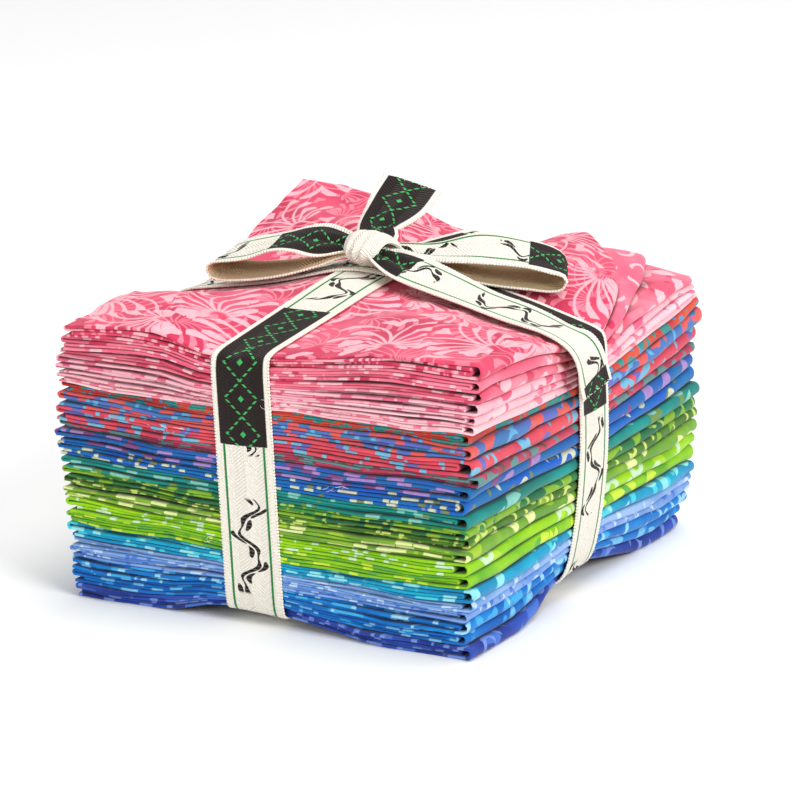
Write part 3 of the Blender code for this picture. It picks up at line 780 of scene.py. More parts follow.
def yarnEnd(tree, start, turned):
    # a curled end of yarn that stands out of a raw edge
    inputs = {"Resolution": 12, "Sweep Angle": 1.7, "Radius": start["Length"]}
    arc = addNode(tree, "GeometryNodeCurveArc", inputs)
    inputs = {"Resolution": 5, "Radius": start["Radius"]}
    ring = addNode(tree, "GeometryNodeCurvePrimitiveCircle", inputs)
    inputs = {"Curve": arc, "Profile Curve": ring, "Fill Caps": True}
    tube = addNode(tree, "GeometryNodeCurveToMesh", inputs)
    spin = randomVector(start["Seed"], (-0.7, -0.7, -3.1), (0.7, 0.7, 3.1))
    inputs = {"Rotation": turned, "Rotate By": spin}
    spun = addNode(tree, "FunctionNodeRotateRotation", inputs)
    scale = randomVector(start["Seed"], (0.5, 0.4, 1.0), (1.2, 1.1, 1.0))
    return {"Instance": tube, "Rotation": spun, "Scale": scale}


def growAlong(name, node, lines, tree, sizes, material, seed):
    # lines are rows of points, and sizes the tree's named inputs, all in millimetres
    vertices, edges = [], []
    for line in lines:
        first = len(vertices)
        vertices += [tuple((np.array(p) + stack["shift"]) * mm) for p in line]
        edges += [(first + i, first + i + 1) for i in range(len(line) - 1)]
    mesh = bpy.data.meshes.new(name)
    mesh.from_pydata(vertices, edges, [])
    holder = addObject(name, mesh)
    grown = holder.modifiers.new("grown", "NODES")
    grown.node_group = tree
    values = {label: size * mm for label, size in sizes.items()}
    values.update(Seed=seed, Material=material)
    for item in tree.interface.items_tree:
        if item.in_out == "INPUT" and item.name in values:
            grown[item.identifier] = values[item.name]
    piece = plainMesh(holder, name, smoothAngle=80)
    addPiece(piece, node)
    return piece


yarnFinish = {
    "surface": {"Roughness": 0.9, "Specular IOR Level": 0.15},
    "bump": 0.5,
    "bumpDepth": 0.0002,
}


def yarnMaterial(name, colour, shade):
    material, tree = newMaterial(name)
    place = addNode(tree, "ShaderNodeTexCoord", {}, "Object")
    scaled = addNode(tree, "ShaderNodeVectorMath", {0: place, "Scale": 1000.0}, operation="SCALE")
    fibre = noiseAt(scaled, 2.6, 3.0)
    return finishMaterial(material, mixColours(fibre, srgb(colour), srgb(shade)), fibre, yarnFinish)


def addPiece(piece, node):
    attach(piece, "root")
    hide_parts(node)


# The folded cloths: three layers one way, like a letter, then four passes the other way

fatQuarter = {
    "width": 457.0,
    "length": 559.0,
    "thickness": 0.22,
    "layerShare": 1 / 12,
    "roundness": 0.9,
    "gapShare": 0.015,
    "passStations": 21,
    "layerStations": 17,
    "fineStations": 70,
    "foldSteps": 7,
    # along: each pass's height in layers and whether it runs to the right, and between them
    # each fold's middle and radius in layers, its first angle in turns and its way round
    "passes": ((1.5, True), (10.5, False), (7.5, True), (4.5, False)),
    "folds": ((6.0, 4.5, -0.25, 1), (9.0, 1.5, 0.25, 1), (6.0, 1.5, 0.25, -1)),
    # across: each layer's offset, and between them each fold's middle, radius and side
    "layers": (0.0, -1.0, 1.0),
    "edgeFolds": ((-0.5, 0.5, 1.0), (0.0, 1.0, -1.0)),
    "seed": 7,
    # swells between two cloths: first seed, size and height
    "seam": (500, 40.0, 0.45),
    # radii of the outer folds, in layers
    "rightFold": 5.6,
    "leftFold": 3.0,
    "rippleSpread": 3.0,
    # what is left under a ribbon of the slip, the open fold and the swells
    "heldSlip": 0.25,
    "heldEye": 0.2,
    "heldSeam": 0.3,
    "eye": 0.045,
    "eyeDepth": 5.0,
    "eyeSpread": (0.3, 1.5),
    "innerFoldBack": (1.2, 4.2),
    # how far the cut ends stay back: inside, at the left, in front and behind
    "rawLow": (0.6, 2.2),
    "rawHigh": (1.5, 4.5),
    "rawFront": (0.8, 2.5),
    "rawBack": (0.3, 1.5),
    "slips": (-0.5, 0.0, 0.3, 1.3),
    "slipSpread": 0.3,
    # uneven waves along a line: first seed, size and height
    "waves": {
        "left": (300, 38.0, 0.6),
        "right": (340, 42.0, 0.6),
        "front": (350, 36.0, 0.6),
        "back": (410, 36.0, 0.6),
        "slip": (420, 52.0, 0.7),
        "ripple": (440, 34.0, 0.022),
        "innerFold": (460, 50.0, 0.5),
    },
}


def easedShares(key, fine):
    # stations that crowd together towards both ends
    t = np.linspace(0.0, 1.0, fatQuarter["fineStations" if fine else key])
    return t - 0.7 * np.sin(tau * t) / tau


def lengthStations(fine, height):
    # along the 559 mm: pass number, share from left to right, height, offset, normal, flat place
    layer, steps, folds = (fatQuarter[key] for key in ("layerShare", "foldSteps", "folds"))
    turnLengths = [math.pi * radius * layer * height for _, radius, _, _ in folds]
    passLength = (fatQuarter["length"] - sum(turnLengths)) / 4
    stations = []
    flat = 0.0
    for number, (share, rightward) in enumerate(fatQuarter["passes"]):
        shares = easedShares("passStations", fine and number == 1)
        for f in shares if rightward else shares[::-1]:
            run = f if rightward else 1 - f
            side = 1.0 if rightward else -1.0
            stations.append((number, f, share * layer, 0.0, 0.0, side, flat + run * passLength))
        flat += passLength
        if number == 3:
            break
        middle, radius, first, turn = folds[number]
        end = 0.0 if number == 1 else 1.0
        for step in range(1, steps):
            angle = tau * (first + turn * 0.5 * step / steps)
            cos, sin = math.cos(angle), math.sin(angle)
            place = (number + 0.5, end, (middle + radius * sin) * layer, radius * layer * cos)
            normal = (-turn * cos, -turn * sin)
            stations.append((*place, *normal, flat + step / steps * turnLengths[number]))
        flat += turnLengths[number]
    return np.array(stations, float)


def widthStations(fine):
    # across the 457 mm: layer number, share from front to back, offset, reach, flat place
    layer, steps = fatQuarter["layerShare"], fatQuarter["foldSteps"]
    layerLength = fatQuarter["width"] / 3
    stations = []
    for number, offset in enumerate(fatQuarter["layers"]):
        shares = easedShares("layerStations", fine and number == 1)
        backward = number == 1
        for g in shares[::-1] if backward else shares:
            run = 1 - g if backward else g
            stations.append((number, g, offset * layer, 0.0, (number + run) * layerLength))
        if number == 2:
            break
        # a tight fold behind, then the wide one in front that wraps the first layer's end
        middle, radius, outward = fatQuarter["edgeFolds"][number]
        for step in range(1, steps):
            angle = math.pi * step / steps
            turned = (middle + radius * math.cos(angle) * outward) * layer
            reach = layer * radius * math.sin(angle) * outward
            stations.append((number + 0.5, 1.0 - number, turned, reach, (number + 1) * layerLength))
    return np.array(stations, float)


def waveAlong(kind, index, line):
    seed, size, height = fatQuarter["waves"][kind]
    return softNoise(line, line * 0, seed + index, size) * height


def clothEdges(index, x, y):
    # where this cloth's four edges lie at each point
    cloth = cloths[index]
    fromBase = len(cloths) - 1 - index
    draw = stack["endDraws"][min(index, fromBase, 2)]
    lowDraw = stack["lowRightDraws"][min(fromBase, 4)]
    heldLeft = min(stack["heldLeft"], max(0.0, cloth["left"])) - draw
    heldRight = -draw * stack["rightDrawShare"] - lowDraw
    heldBack = (stack["heldBack"] if cloth["back"] > stack["heldBack"] else 0.0) - draw
    far = cloth["far"] * (stack["drawnShare"] if cloth["far"] < stack["drawnCorner"] else 1.0)
    ends = []
    for side, before, held, after, last in (
        ("left", cloth["left"], heldLeft, cloth["left"], cloth["left"]),
        ("right", cloth["near"], heldRight, far, cloth["far"]),
    ):
        past = smoothThrough(stack["rows"], (before, before, held, held, after, last), y)
        away = -stack["clear"] if side == "left" else stack["clear"]
        wave = waveAlong(side, index, y) * freeOfRibbons(x * 0 + away, y)
        ends.append(stack["halfWidth"] + past + wave)
    edges = []
    for name, side, past, held in (
        ("front", -1, cloth["front"], -draw),
        ("back", 1, cloth["back"], heldBack),
    ):
        marks = columnMarks(side * stack["halfDepth"])
        reach = smoothThrough(marks, (past, past, held, held, past, past), x)
        wave = waveAlong(name, index, x) * freeOfRibbons(x, x * 0 + stack["clear"])
        edges.append(side * (stack["halfDepth"] + reach + wave))
    return -ends[0], ends[1], edges[0], edges[1]


def partly(free, least):
    # how much of a movement is left where a ribbon holds the cloth
    return least + (1 - least) * free


def clothPoints(index, bottom, top, along, across):
    picker = random.Random(index + fatQuarter["seed"])

    def drawn(key):
        return picker.uniform(*fatQuarter[key])

    height = cloths[index]["pitch"]
    layer = fatQuarter["layerShare"]
    number, f, share, radiusX, normalX, normalShare, flatLength = (row[:, None] for row in along.T)
    layerNumber, g, offset, reach, flatWidth = (row[None, :] for row in across.T)
    number, f, share = (a + 0 * g for a in (number, f, share))
    g = g + 0 * f
    y = -stack["halfDepth"] + 2 * stack["halfDepth"] * g
    x = -stack["halfWidth"] + 2 * stack["halfWidth"] * f
    left, right, _, _ = clothEdges(index, x, y)
    roundWidth = height * fatQuarter["roundness"]
    # the inner fold lies further in, so the outer one stays open in front of it
    setBack = drawn("innerFoldBack") + waveAlong("innerFold", index, y)
    folds = (fatQuarter["rightFold"], fatQuarter["leftFold"])
    rightFold, leftFold = (radius * layer * roundWidth for radius in folds)
    rightCentre = right - rightFold - np.where(number > 1.75, setBack, 0.0)
    rawLow, rawHigh = drawn("rawLow"), drawn("rawHigh")
    leftStart = np.where(number < 0.25, left + rawLow, left + leftFold)
    leftStart = np.where(number > 2.75, left + rawHigh, leftStart)
    x = leftStart + (rightCentre - leftStart) * f + roundWidth * (radiusX + normalX * offset)
    _, _, front, back = clothEdges(index, x, y)
    strip = flatLength + 0 * g
    free = freeOfRibbons(x, y)
    # each pass slips a little past its neighbours, less where a ribbon holds it
    spread = fatQuarter["slipSpread"]
    slips = [picker.choice(fatQuarter["slips"]) + picker.uniform(-spread, spread) for _ in range(4)]
    slip = waveAlong("slip", index, strip) + np.interp(number, (0, 1, 2, 3), slips)
    slip = slip * partly(freeOfRibbons(x, x * 0 + stack["clear"]), fatQuarter["heldSlip"])
    rawFront, rawBack = drawn("rawFront"), drawn("rawBack")
    rawEdge = np.where(layerNumber < 0.25, rawFront * (1 - g), 0.0)
    rawEdge = rawEdge - np.where(layerNumber > 1.75, rawBack * g, 0.0)
    y = front + (back - front) * g + slip + rawEdge + reach * height
    ripple = waveAlong("ripple", index, strip)
    swollen = ripple * np.clip(4 * share * (1 - share), 0, 1)
    spread = 1.0 + fatQuarter["rippleSpread"] * ripple
    share = share + normalShare * offset * spread + swollen
    # the fold at the left stands a little open, like an eye
    opened = np.exp(-np.clip(x - left, 0, None) / fatQuarter["eyeDepth"]) * fatQuarter["eye"]
    opened = opened * drawn("eyeSpread") * partly(free, fatQuarter["heldEye"])
    share = share + np.where((number > 0.6) & (number < 1.4), opened, 0.0)
    share = share - np.where((number > 1.6) & (number < 2.4), opened, 0.0)
    share = np.clip(share, 0.0, 1.0)
    pad = fatQuarter["gapShare"]
    level = bottom + (top - bottom) * (pad + share * (1 - 2 * pad))
    z = levelHeight(chartHeights(x, y), level)
    seed, size, wave = fatQuarter["seam"]
    seams = [softNoise(x, y, seed + index + k, size) * wave for k in (0, 1)]
    isBottom, isTop = index == len(cloths) - 1, index == 0
    above = topRelief(x, y) * share**3 if isTop else seams[0] * share
    below = seams[1] * (1 - share) * (0 if isBottom else 1)
    z = z + (above + below) * (free if isTop else partly(free, fatQuarter["heldSeam"]))
    flat = np.stack([strip, flatWidth + 0 * strip], axis=-1)
    points = np.stack([x, y, z], axis=-1)
    # the points, their flat places, and how much painted shade each gets between the layers
    return points, flat, paintedShadeInFolds(index, points, share)


# Ends of yarn at raw edges: cloth number, from and to along the front in millimetres
frayed = {
    "places": (
        (4, -47.0, -38.0),
        (6, -1.0, 9.0),
        (9, -44.0, -30.0),
        (12, 18.0, 26.0),
        (18, -20.0, -12.0),
    ),
    "skip": 6,
    "marks": 8,
    "out": 0.2,
    "sizes": {"Pitch": 1.6, "Length": 2.6, "Radius": 0.07},
    "colour": (250, 240, 240),
    "shade": (236, 196, 206),
}
lengths = (("Pitch", "Float"), ("Radius", "Float"), ("Length", "Float"))
looseThreads = growthTree("looseThreads", lengths, yarnEnd)
frayedYarn = yarnMaterial("frayedYarn", frayed["colour"], frayed["shade"])


def frontThreads(index, points):
    # the lines along the front edge of this cloth where threads stand out
    passes = points.shape[0] // 4
    skip = frayed["skip"]
    rows = points[passes + skip : 2 * passes - skip]
    edge = rows[np.arange(len(rows)), rows[..., 1].argmin(axis=1)]
    edge = edge[edge[:, 0].argsort()]
    lines = []
    for number, low, high in frayed["places"]:
        if number == index + 1:
            x = np.linspace(low, high, frayed["marks"])
            y, z = (np.interp(x, edge[:, 0], edge[:, axis]) for axis in (1, 2))
            lines.append(np.stack([x, y - frayed["out"], z], axis=1))
    return lines


# Little light comes between the layers: where the dark begins and is full, from each edge
foldShadow = {
    "mouth": (0.16, 0.6),
    "behind": (0.5, 2.2),
    "behindShare": 0.65,
    "right": (1.0, 2.4),
    "left": (0.5, 1.8),
    "under": (-0.8, 0.6),
    "above": (0.6, 0.85),
}


def paintedShadeInFolds(index, points, share):
    # painted shade: 0 on what lies open and 1 well inside the gaps between layers, where little
    # light comes
    x, y = points[..., 0], points[..., 1]
    fronts, backs = y.min(axis=1, keepdims=True), y.max(axis=1, keepdims=True)
    left, right, front, back = clothEdges(index, x, y)
    mouth, behind = foldShadow["mouth"], foldShadow["behind"]
    deep = eased(y - fronts, *mouth) * eased(backs - y, *mouth)
    past = foldShadow["behindShare"] * eased(y - front, *behind) * eased(back - y, *behind)
    deep = np.maximum(deep, past)
    deep = deep * eased(right - x, *foldShadow["right"]) * eased(x - left, *foldShadow["left"])
    covered = 0.0
    if index:
        left, right, front, back = clothEdges(index - 1, x, y)
        under = np.minimum(np.minimum(x - left, right - x), np.minimum(y - front, back - y))
        covered = eased(under, *foldShadow["under"])
    return deep * (1.0 - eased(share, *foldShadow["above"]) * (1.0 - covered))


def makeCloths():
    pieces = []
    thickness = fatQuarter["thickness"]
    for index, (bottom, top) in enumerate(stackLevels()):
        fine = index < 2
        along, across = lengthStations(fine, cloths[index]["pitch"]), widthStations(fine)
        points, flat, depth = clothPoints(index, bottom, top, along, across)
        points[..., 2] = np.maximum(points[..., 2], thickness / 2)
        mesh = gridMesh(f"cotton_{index + 1:02d}", points, flat, "flatCloth")
        # painted shade between the layers, which darkens the cloth's colour
        setValues(mesh, "paintedFoldShade", depth)
        piece = thickSheet(mesh.name, mesh, thickness, clothMaterial(index))
        node = f"fat_quarter_{index + 1:02d}"
        addPiece(piece, node)
        lines = frontThreads(index, points)
        if lines:
            name = f"threads_{index + 1:02d}"
            yarn = (looseThreads, frayed["sizes"], frayedYarn)
            growAlong(name, node, lines, *yarn, index)
        below = f"cotton_{index + 2:02d}" if index < len(cloths) - 1 else "floor"
        pieces.append(piece)
    return pieces


cottonPieces = makeCloths()
print("cloths folded:", len(cottonPieces))


# Twill tape: its print runs along the tape, dark in places, with a cream edge on both sides

tape = {
    "width": 19.0,
    "thickness": 0.8,
    "lift": 0.75,
    "cream": (252, 248, 239),
    "creamShade": (240, 232, 214),
    # the back face's tan is partly the tape's own back tone and partly painted shade for the inside
    # of the loops
    "back": (222, 200, 160),
    "backShade": (196, 168, 124),
    "dark": (40, 31, 29),
    "green": (36, 132, 62),
    "stitchGreen": (70, 184, 100),
    "black": (30, 24, 24),
    "columns": 9,
    "rib": 1.15,
    "selvedge": 8.2,
    "lineAt": 6.9,
    "lozenge": 5.6,
    "raised": 0.9,
    "surface": {"Roughness": 0.9, "Specular IOR Level": 0.15, "Sheen Weight": 0.08},
    "bump": 0.6,
    "bumpDepth": 0.0004,
    "loops": {"Pitch": 1.0, "Radius": 0.43},
    "loopReach": 0.12,
    "noDark": -50.0,
    "fringe": {"Pitch": 0.7, "Radius": 0.1, "Length": 0.8},
}


def near(value, middle, half, soft):
    # 1 where the value lies within half of the middle
    return 1.0 - smoothStep(abs(value - middle), half, half + soft)


def wave(along, period, shift=0.0):
    return calc("SINE", (along + shift) * (tau / period))


def twillGroup():
    # herringbone ribs, turned the other way on each half, and looped selvedges
    inputs = (("Across", "Float", 0.0), ("Along", "Float", 0.0))
    tree, start, end = newGroup("twillWeave", inputs, (("Height", "Float"), ("Rough", "Float")))
    across, along = start["Across"], start["Along"]
    side = abs(across)
    rough = noiseAt(addNode(tree, "ShaderNodeCombineXYZ", {0: across, 1: along}), 0.9, 2.0)
    rib = wave(along + calc("PINGPONG", side, 4.1) * 0.8, tape["rib"])
    inner = calc("LESS_THAN", side, tape["selvedge"])
    weave = rib * inner + wave(along, 0.95) * 0.7 * (1.0 - inner)
    plug(end["Height"], weave + rough * 0.6)
    plug(end["Rough"], rough)
    return tree


def tapePrintGroup():
    inputs = [(label, "Float", 0.0) for label in ("Across", "Along", "Dark", "Rough")]
    tree, start, end = newGroup("tapePrint", inputs, (("Color", "Color"), ("Raised", "Float")))
    across, along, rough = start["Across"], start["Along"], start["Rough"]
    side = abs(across)
    dark = smoothStep(start["Dark"] + rough * 0.4, 0.1, 0.4)
    inner = 1.0 - smoothStep(side, tape["selvedge"] - 0.2, tape["selvedge"] + 0.2)
    darkArea = dark * inner
    light = 1.0 - dark
    cream = mixColours(rough, srgb(tape["cream"]), srgb(tape["creamShade"]))
    ground = mixColours(darkArea, cream, srgb(tape["dark"]))
    # a green thread near both edges of the cream lengths
    thread = near(side, tape["lineAt"], 0.3, 0.18) * light
    lined = mixColours(thread, ground, srgb(tape["green"]))
    # a black vine of uneven width with small leaves, broken off now and then
    vine = wave(along, 17.0) * 3.4 + wave(along, 6.3, 1.0) * 0.8
    stem = near(across, vine, 0.66 + wave(along, 8.5, 2.0) * 0.42, 0.14)
    leafAlong = (calc("PINGPONG", along, 4.2) - 2.1) / 1.9
    leafAcross = across - vine - calc("SIGN", wave(along, 16.8)) * 2.3
    leaf = 1.0 - smoothStep(leafAlong**2.0 + leafAcross**2.0, 0.8, 1.1)
    woven = smoothStep(wave(along, 1.15), -1.3, -0.85)
    run = smoothStep(wave(along, 44.0), -0.62, -0.5)
    drawn = calc("MAXIMUM", stem, leaf) * woven * (run * light)
    printed = mixColours(drawn, lined, srgb(tape["black"]))
    # green running stitches in lozenges on the dark lengths, with a small diamond in each
    zigzag = calc("PINGPONG", along, tape["lozenge"])
    lozenge = near(side, zigzag, 0.34, 0.2)
    kernel = 1.0 - smoothStep(side + (tape["lozenge"] - zigzag), 0.9, 1.2)
    stitch = smoothStep(wave(along, 1.7) + rough * 0.5, -0.2, 0.2)
    stitched = calc("MAXIMUM", lozenge * stitch, kernel) * darkArea
    plug(end["Color"], mixColours(stitched, printed, srgb(tape["stitchGreen"])))
    plug(end["Raised"], calc("MAXIMUM", stitched, drawn * 0.4))
    return tree


def tapeMaterial(name, plain=None):
    # the front has the woven pattern, and plain tape has only its two tones; the tan back is partly
    # painted shade
    material, tree = newMaterial(name)
    across, along, _ = splitVector(flatMillimetres(tree, "flatTape"))
    centred = across - tape["width"] / 2
    weave = useGroup(tree, twillWeave, Across=centred, Along=along)
    if plain:
        colour = mixColours(weave["Rough"], srgb(tape[plain]), srgb(tape[plain + "Shade"]))
        return finishMaterial(material, colour, weave["Height"], tape)
    dark = addNode(tree, "ShaderNodeAttribute", {}, "Fac", attribute_name="darkLength")
    places = {"Across": centred, "Along": along, "Dark": dark}
    printed = useGroup(tree, tapePrint, Rough=weave["Rough"], **places)
    height = weave["Height"] + printed["Raised"] * tape["raised"]
    return finishMaterial(material, printed["Color"], height, tape)


twillWeave = twillGroup()
tapePrint = tapePrintGroup()
tapeFront = tapeMaterial("twillTapeFront")
tapeBackShaded = tapeMaterial("twillTapeBackShaded", "back")
tapePlain = tapeMaterial("twillTapePlain", "cream")
selvedgeLoops = growthTree("selvedgeLoops", lengths[:2], weftLoop)
selvedgeYarn = yarnMaterial("selvedgeYarn", tape["cream"], tape["creamShade"])


def runLength(line):
    steps = np.linalg.norm(np.diff(line, axis=0), axis=1)
    return np.concatenate([[0.0], np.cumsum(steps)])


def roundedPath(corners, times):
    # a closed path whose corners are cut again and again
    for _ in range(times):
        following = np.roll(corners, -1, axis=0)
        cut = [share * corners + (1 - share) * following for share in (0.75, 0.25)]
        cut = np.stack(cut, axis=1)
        corners = cut.reshape(-1, *corners.shape[1:])
    return corners


def tapePiece(name, node, points, darkRuns=(), darkEnd=None, shift=0.0):
    # points: stations along the tape by columns across it, its front on the left of its run
    along = runLength(points[:, points.shape[1] // 2])
    across = np.linspace(0.0, tape["width"], points.shape[1])
    flat = np.stack(np.broadcast_arrays(across[None, :], along[:, None] + shift), axis=-1)
    mesh = gridMesh(name, points, flat, "flatTape")
    inside = np.full(len(along), tape["noDark"])
    for first, last in darkRuns:
        inside = np.maximum(inside, np.minimum(along - first, last - along))
    if darkEnd is not None:
        inside = np.maximum(inside, along - (along[-1] - darkEnd))
    setValues(mesh, "darkLength", np.repeat(inside, points.shape[1]))
    isKnot = name == "tape_knot"
    # the back side gets the tan that is partly painted shade
    piece = thickSheet(name, mesh, tape["thickness"], tapePlain if isKnot else tapeFront, tapeBackShaded)
    addPiece(piece, node)
    if not isKnot:
        sides = ((points[:, 0], points[:, 1]), (points[:, -1], points[:, -2]))
        lines = [outer + (outer - inner) * tape["loopReach"] for outer, inner in sides]
        yarn = (selvedgeLoops, tape["loops"], selvedgeYarn)
        growAlong(name + "_edge", node, lines, *yarn, 5)
    if name.startswith("tape_tail"):
        yarn = (looseThreads, tape["fringe"], selvedgeYarn)
        growAlong(name + "_fringe", node, [points[-1]], *yarn, 9)
    print(name, "length", round(float(along[-1]), 1))


def line(x, y, z):
    return np.stack(np.broadcast_arrays(x, y, z), axis=1)


def closedTape(grid):
    # the top, one side, the base and the other side of each column, with rounded corners
    points = np.stack([roundedPath(np.concatenate(parts), 2) for parts in grid], axis=1)
    return np.concatenate([points, points[:1]])


ringRoute = {
    "sideSteps": 7,
    "underX": -1.9,
    "underDrift": 0.04,
    "frontCut": 2.2,
    "backCut": 3.6,
    "over": 1.15,
    "overHalf": 9.5,
    "overSlope": 6.0,
    "rightDrift": (0.4, 0.9, 2.2, 2.4, 1.0, -1.6, -4.6),
    "rightTuck": (0, 0, 0, 0, 0, 0.2, 1.4),
    "lowSlant": -6.0,
    "endLow": 4.2,
}


def lengthwiseTape():
    half, gap, steps = tape["width"] / 2, tape["lift"], ringRoute["sideSteps"]
    front, back = -stack["halfDepth"], stack["halfDepth"] + stack["heldBack"]
    topY = np.linspace(front + ringRoute["frontCut"], back - ringRoute["backCut"], 16)
    lowY = topY[::-1]
    grid = []

    def upright(start, end, y, inset):
        inset = inset if start[2] < end[2] else -inset
        heights = np.linspace(start[2] + inset, end[2] - inset, steps)
        return line(np.linspace(start[0], end[0], steps), y, heights)

    for a in np.linspace(-half, half, tape["columns"]):
        topX = ribbonLine(topY) + a
        lowX = ringRoute["underX"] + ringRoute["underDrift"] * lowY + a
        upper = line(topX, topY, chartHeights(topX, topY)[3] + gap)
        lower = line(lowX, lowY, chartHeights(lowX, lowY)[0] - gap)
        down = upright(upper[-1], lower[0], back + gap, ringRoute["backCut"])
        up = upright(lower[-1], upper[0], front - gap, ringRoute["frontCut"])
        grid.append((upper, down, lower, up))
    return closedTape(grid)


def crosswiseTape():
    half, gap, steps = tape["width"] / 2, tape["lift"], ringRoute["sideSteps"]
    frontCut, backCut, endLow = ringRoute["frontCut"], ringRoute["backCut"], ringRoute["endLow"]
    left, right = -stack["halfWidth"] - stack["heldLeft"], stack["halfWidth"]
    crossY = stack["crossY"]
    start, end = left + backCut, right - frontCut
    topX = np.linspace(start, end, 19)
    lowX = np.linspace(end - endLow + 1.0, start, 13)
    lowY = crossY + ringRoute["lowSlant"] * (lowX + right) / (2 * right)
    middle = ribbonLine(crossY)

    def lifted(x):
        # it passes over the lengthwise tape on top and under it below
        past = (np.abs(x - middle) - ringRoute["overHalf"]) / ringRoute["overSlope"]
        return ringRoute["over"] * (1.0 - np.clip(past, 0.0, 1.0))

    side = right + gap - np.array(ringRoute["rightTuck"])
    drift = np.array(ringRoute["rightDrift"])
    grid = []
    for a in np.linspace(-half, half, tape["columns"]):
        topY = crossY + a + topX * 0
        upper = line(topX, topY, chartHeights(topX, topY)[3] + gap + lifted(topX))
        lower = line(lowX, lowY + a, chartHeights(lowX, lowY + a)[0] - gap - lifted(lowX))
        downZ = np.linspace(upper[-1][2] - frontCut, lower[0][2] + endLow, steps)
        upY = np.linspace(lower[-1][1], topY[0], steps)
        upZ = np.linspace(lower[-1][2] + backCut, upper[0][2] - backCut, steps)
        down, up = line(side, crossY + a + drift, downZ), line(left - gap, upY, upZ)
        grid.append((upper, down, lower, up))
    return closedTape(grid)


# Free ends and bow loops, as in the solids: the heading in degrees, the slant of the tip,
# and rows of x, y, z, width and lean in degrees
freeTapes = {
    "bow_loop_left": (0, 0, (
        (-6.0, 0.6, 100.6, 8.0, 0),
        (-12.6, 0.0, 99.8, 9.0, 2),
        (-20.0, -1.0, 97.0, 14.0, 4),
        (-31.0, -2.5, 93.6, 19.0, 4),
        (-44.0, -4.5, 91.2, 19.0, 5),
        (-54.0, -5.5, 90.9, 18.6, 5),
        (-56.0, -5.6, 93.4, 18.6, 0),
        (-54.2, -5.5, 96.0, 18.6, -7),
        (-44.0, -4.3, 98.9, 19.0, -11),
        (-35.5, -3.0, 101.6, 19.0, -7),
        (-28.5, -2.0, 103.0, 18.6, -13),
        (-21.0, -1.0, 103.0, 17.0, -22),
        (-12.6, 0.0, 102.9, 11.0, -16),
        (-6.0, 0.6, 102.2, 8.0, 0),
    )),
    "bow_loop_right": (-27, 0, (
        (-2.0, 1.4, 100.4, 8.0, 0),
        (3.4, 3.8, 99.6, 9.0, -2),
        (13.0, 8.8, 97.2, 14.0, -5),
        (27.0, 16.0, 94.0, 19.0, -5),
        (39.0, 22.1, 92.5, 19.0, -6),
        (47.8, 26.5, 92.3, 18.6, -8),
        (49.8, 27.4, 94.6, 18.6, 0),
        (47.5, 26.4, 97.6, 18.6, 10),
        (38.0, 21.7, 100.8, 19.0, 13),
        (26.0, 15.3, 102.4, 18.0, 17),
        (13.5, 9.0, 100.9, 12.0, 12),
        (3.4, 3.8, 101.8, 9.0, 6),
        (-2.0, 1.4, 102.2, 8.0, 0),
    )),
    "ribbon_tail_back": (90, 0, (
        (-5.4, 3.0, 101.4, 8.0, 0),
        (-6.0, 8.9, 102.9, 10.0, 0),
        (-10.0, 14.0, 104.6, 13.0, -2),
        (-9.5, 26.0, 109.4, 19.0, -8),
        (-10.0, 38.0, 114.4, 19.0, -16),
    )),
    "ribbon_tail_front": (0, 6.0, (
        (-2.0, -3.0, 102.4, 7.0, 0),
        (4.0, -5.4, 101.6, 12.0, -14),
        (12.0, -7.0, 99.6, 17.0, -12),
        (24.0, -8.2, 96.6, 18.8, -6),
        (38.0, -10.0, 93.4, 19.0, 0),
        (53.0, -11.8, 90.7, 19.0, 0),
        (65.5, -12.2, 87.6, 19.0, 6),
        (72.0, -10.8, 84.0, 19.0, 6),
        (74.8, -8.2, 78.4, 19.0, 2),
        (75.7, -3.5, 67.6, 19.0, 0),
    )),
}

freeStyle = {"step": 1.6, "columns": 21, "pleats": 2.5, "pleatShare": 0.6, "crown": 0.35}


def freeTape(heading, tip, rows):
    # a smooth strip through the rows, gathered into pleats where it is narrow
    rows = np.array(rows, float)
    marks = runLength(rows[:, :3])
    count = max(12, int(marks[-1] / freeStyle["step"]))
    at = np.linspace(0.0, marks[-1], count)
    x, y, z, width, lean = (smoothThrough(marks, row, at) for row in rows.T)
    tips = smoothThrough(marks, [0.0] * (len(rows) - 1) + [tip], at)
    centre = line(x, y, z)
    ahead = np.gradient(centre, axis=0)
    ahead /= np.linalg.norm(ahead, axis=1)[:, None]
    heading, lean = math.radians(heading), np.radians(lean)[:, None]
    level = np.array([[math.sin(heading), math.cos(heading), 0.0]]) * np.ones((count, 1))
    level -= ahead * (ahead * level).sum(axis=1)[:, None]
    level /= np.linalg.norm(level, axis=1)[:, None]
    normal = np.cross(level, ahead)
    across = level * np.cos(lean) + normal * np.sin(lean)
    up = normal * np.cos(lean) - level * np.sin(lean)
    a = np.linspace(-0.5, 0.5, freeStyle["columns"])[None, :, None]
    spare = np.sqrt(np.clip(tape["width"] / width - 1.0, 0.0, None))
    depth = freeStyle["pleatShare"] * width / (math.pi * freeStyle["pleats"]) * spare
    pleat = depth[:, None, None] * np.cos(tau * freeStyle["pleats"] * a)
    crown = freeStyle["crown"] * (1 - (2 * a) ** 2)
    points = centre[:, None] + across[:, None] * (a * width[:, None, None])
    return points + up[:, None] * (pleat + crown) + ahead[:, None] * (a * tips[:, None, None])


knot = {
    "girth": 0.48,
    "taper": 0.98,
    # pleats round it: depth and number
    "creases": ((0.045, 4.0), (0.02, 9.0)),
    "centre": (-5.0, 0.0, 101.9),
    "halfLength": 7.0,
    "halfY": 8.0,
    "halfZ": 5.0,
    "turn": -14.0,
    "stations": 72,
    "columns": 31,
}


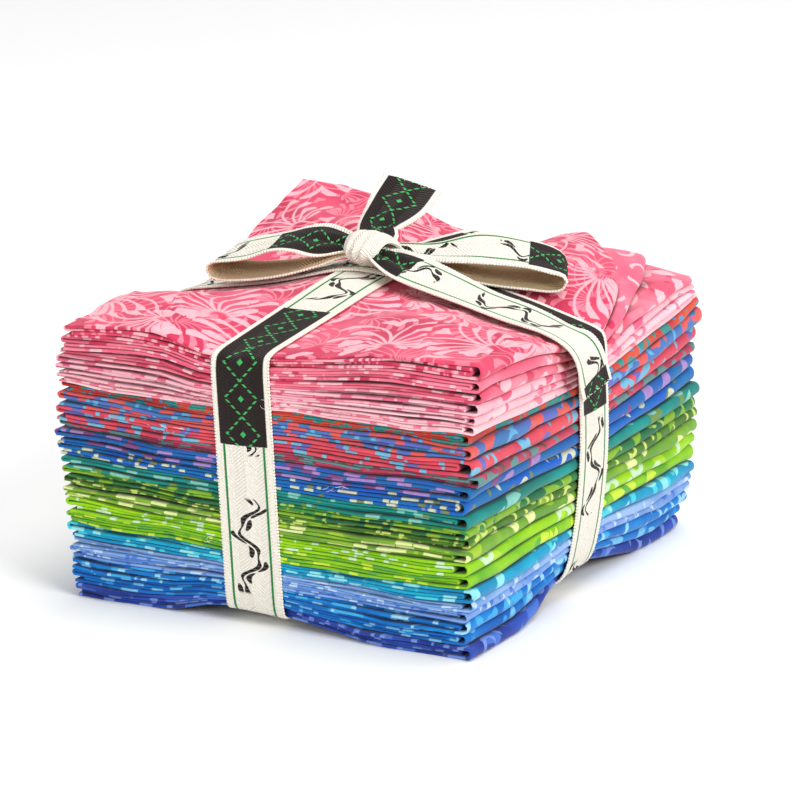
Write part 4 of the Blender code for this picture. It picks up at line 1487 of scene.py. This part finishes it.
def knotTape():
    # the short wrap that goes round the bow's waist, gathered until its edges turn in
    angle = np.linspace(0.0, tau, knot["stations"] + 1)[:, None]
    a = np.linspace(-1.0, 1.0, knot["columns"])[None, :]
    (deep, broad), (shallow, fine) = knot["creases"]
    crease = deep * np.cos(math.pi * broad * a + 0.9 * np.sin(angle))
    crease = crease + shallow * np.cos(math.pi * fine * a)
    girth = knot["girth"] + (1 - knot["girth"]) * np.sqrt(1.0 - knot["taper"] * a**2)
    girth = (girth + crease * (1 - a**4)) * (1.0 + 0.06 * np.cos(4 * angle))
    y = knot["halfY"] * girth * np.cos(angle)
    z = knot["halfZ"] * girth * np.sin(angle)
    x = knot["halfLength"] * a * (1.0 + 0.12 * np.sin(angle + 0.6)) + 0.5 * np.sin(angle * 2 + 1)
    turn = math.radians(knot["turn"])
    along, across = x * math.cos(turn) - y * math.sin(turn), x * math.sin(turn) + y * math.cos(turn)
    cx, cy, cz = knot["centre"]
    return np.stack([cx + along, cy + across, cz + z], axis=-1)


def makeTapes():
    # each print: its dark lengths in millimetres, the dark length at its last end, and its shift
    free = {name: freeTape(*row) for name, row in freeTapes.items()}
    for name in ("bow_loop_right", "ribbon_tail_back"):
        free[name] = free[name][:, ::-1]
    rings = {"ribbon_lengthwise": lengthwiseTape()[:, ::-1], "ribbon_crosswise": crosswiseTape()}
    shapes = {**rings, **free, "ribbon_knot": knotTape()}
    for node, *printed in (
        ("ribbon_lengthwise", ((-20.0, 32.0), (84.0, 137.0)), 33.0, 0.0),
        ("ribbon_crosswise", ((92.0, 163.0),), None, 6.0),
        ("bow_loop_left", (), 32.0, 9.0),
        ("bow_loop_right", ((60.0, 75.0),), None, 30.0),
        ("ribbon_tail_back", ((-20.0, 80.0),), None, 0.0),
        ("ribbon_tail_front", ((-5.0, 15.5),), 5.0, 0.0),
        ("ribbon_knot", (), None, 0.0),
    ):
        name = "tape_" + node.replace("ribbon_", "").replace("bow_", "")
        tapePiece(name, node, shapes[node], *printed)


makeTapes()
print("tapes tied")
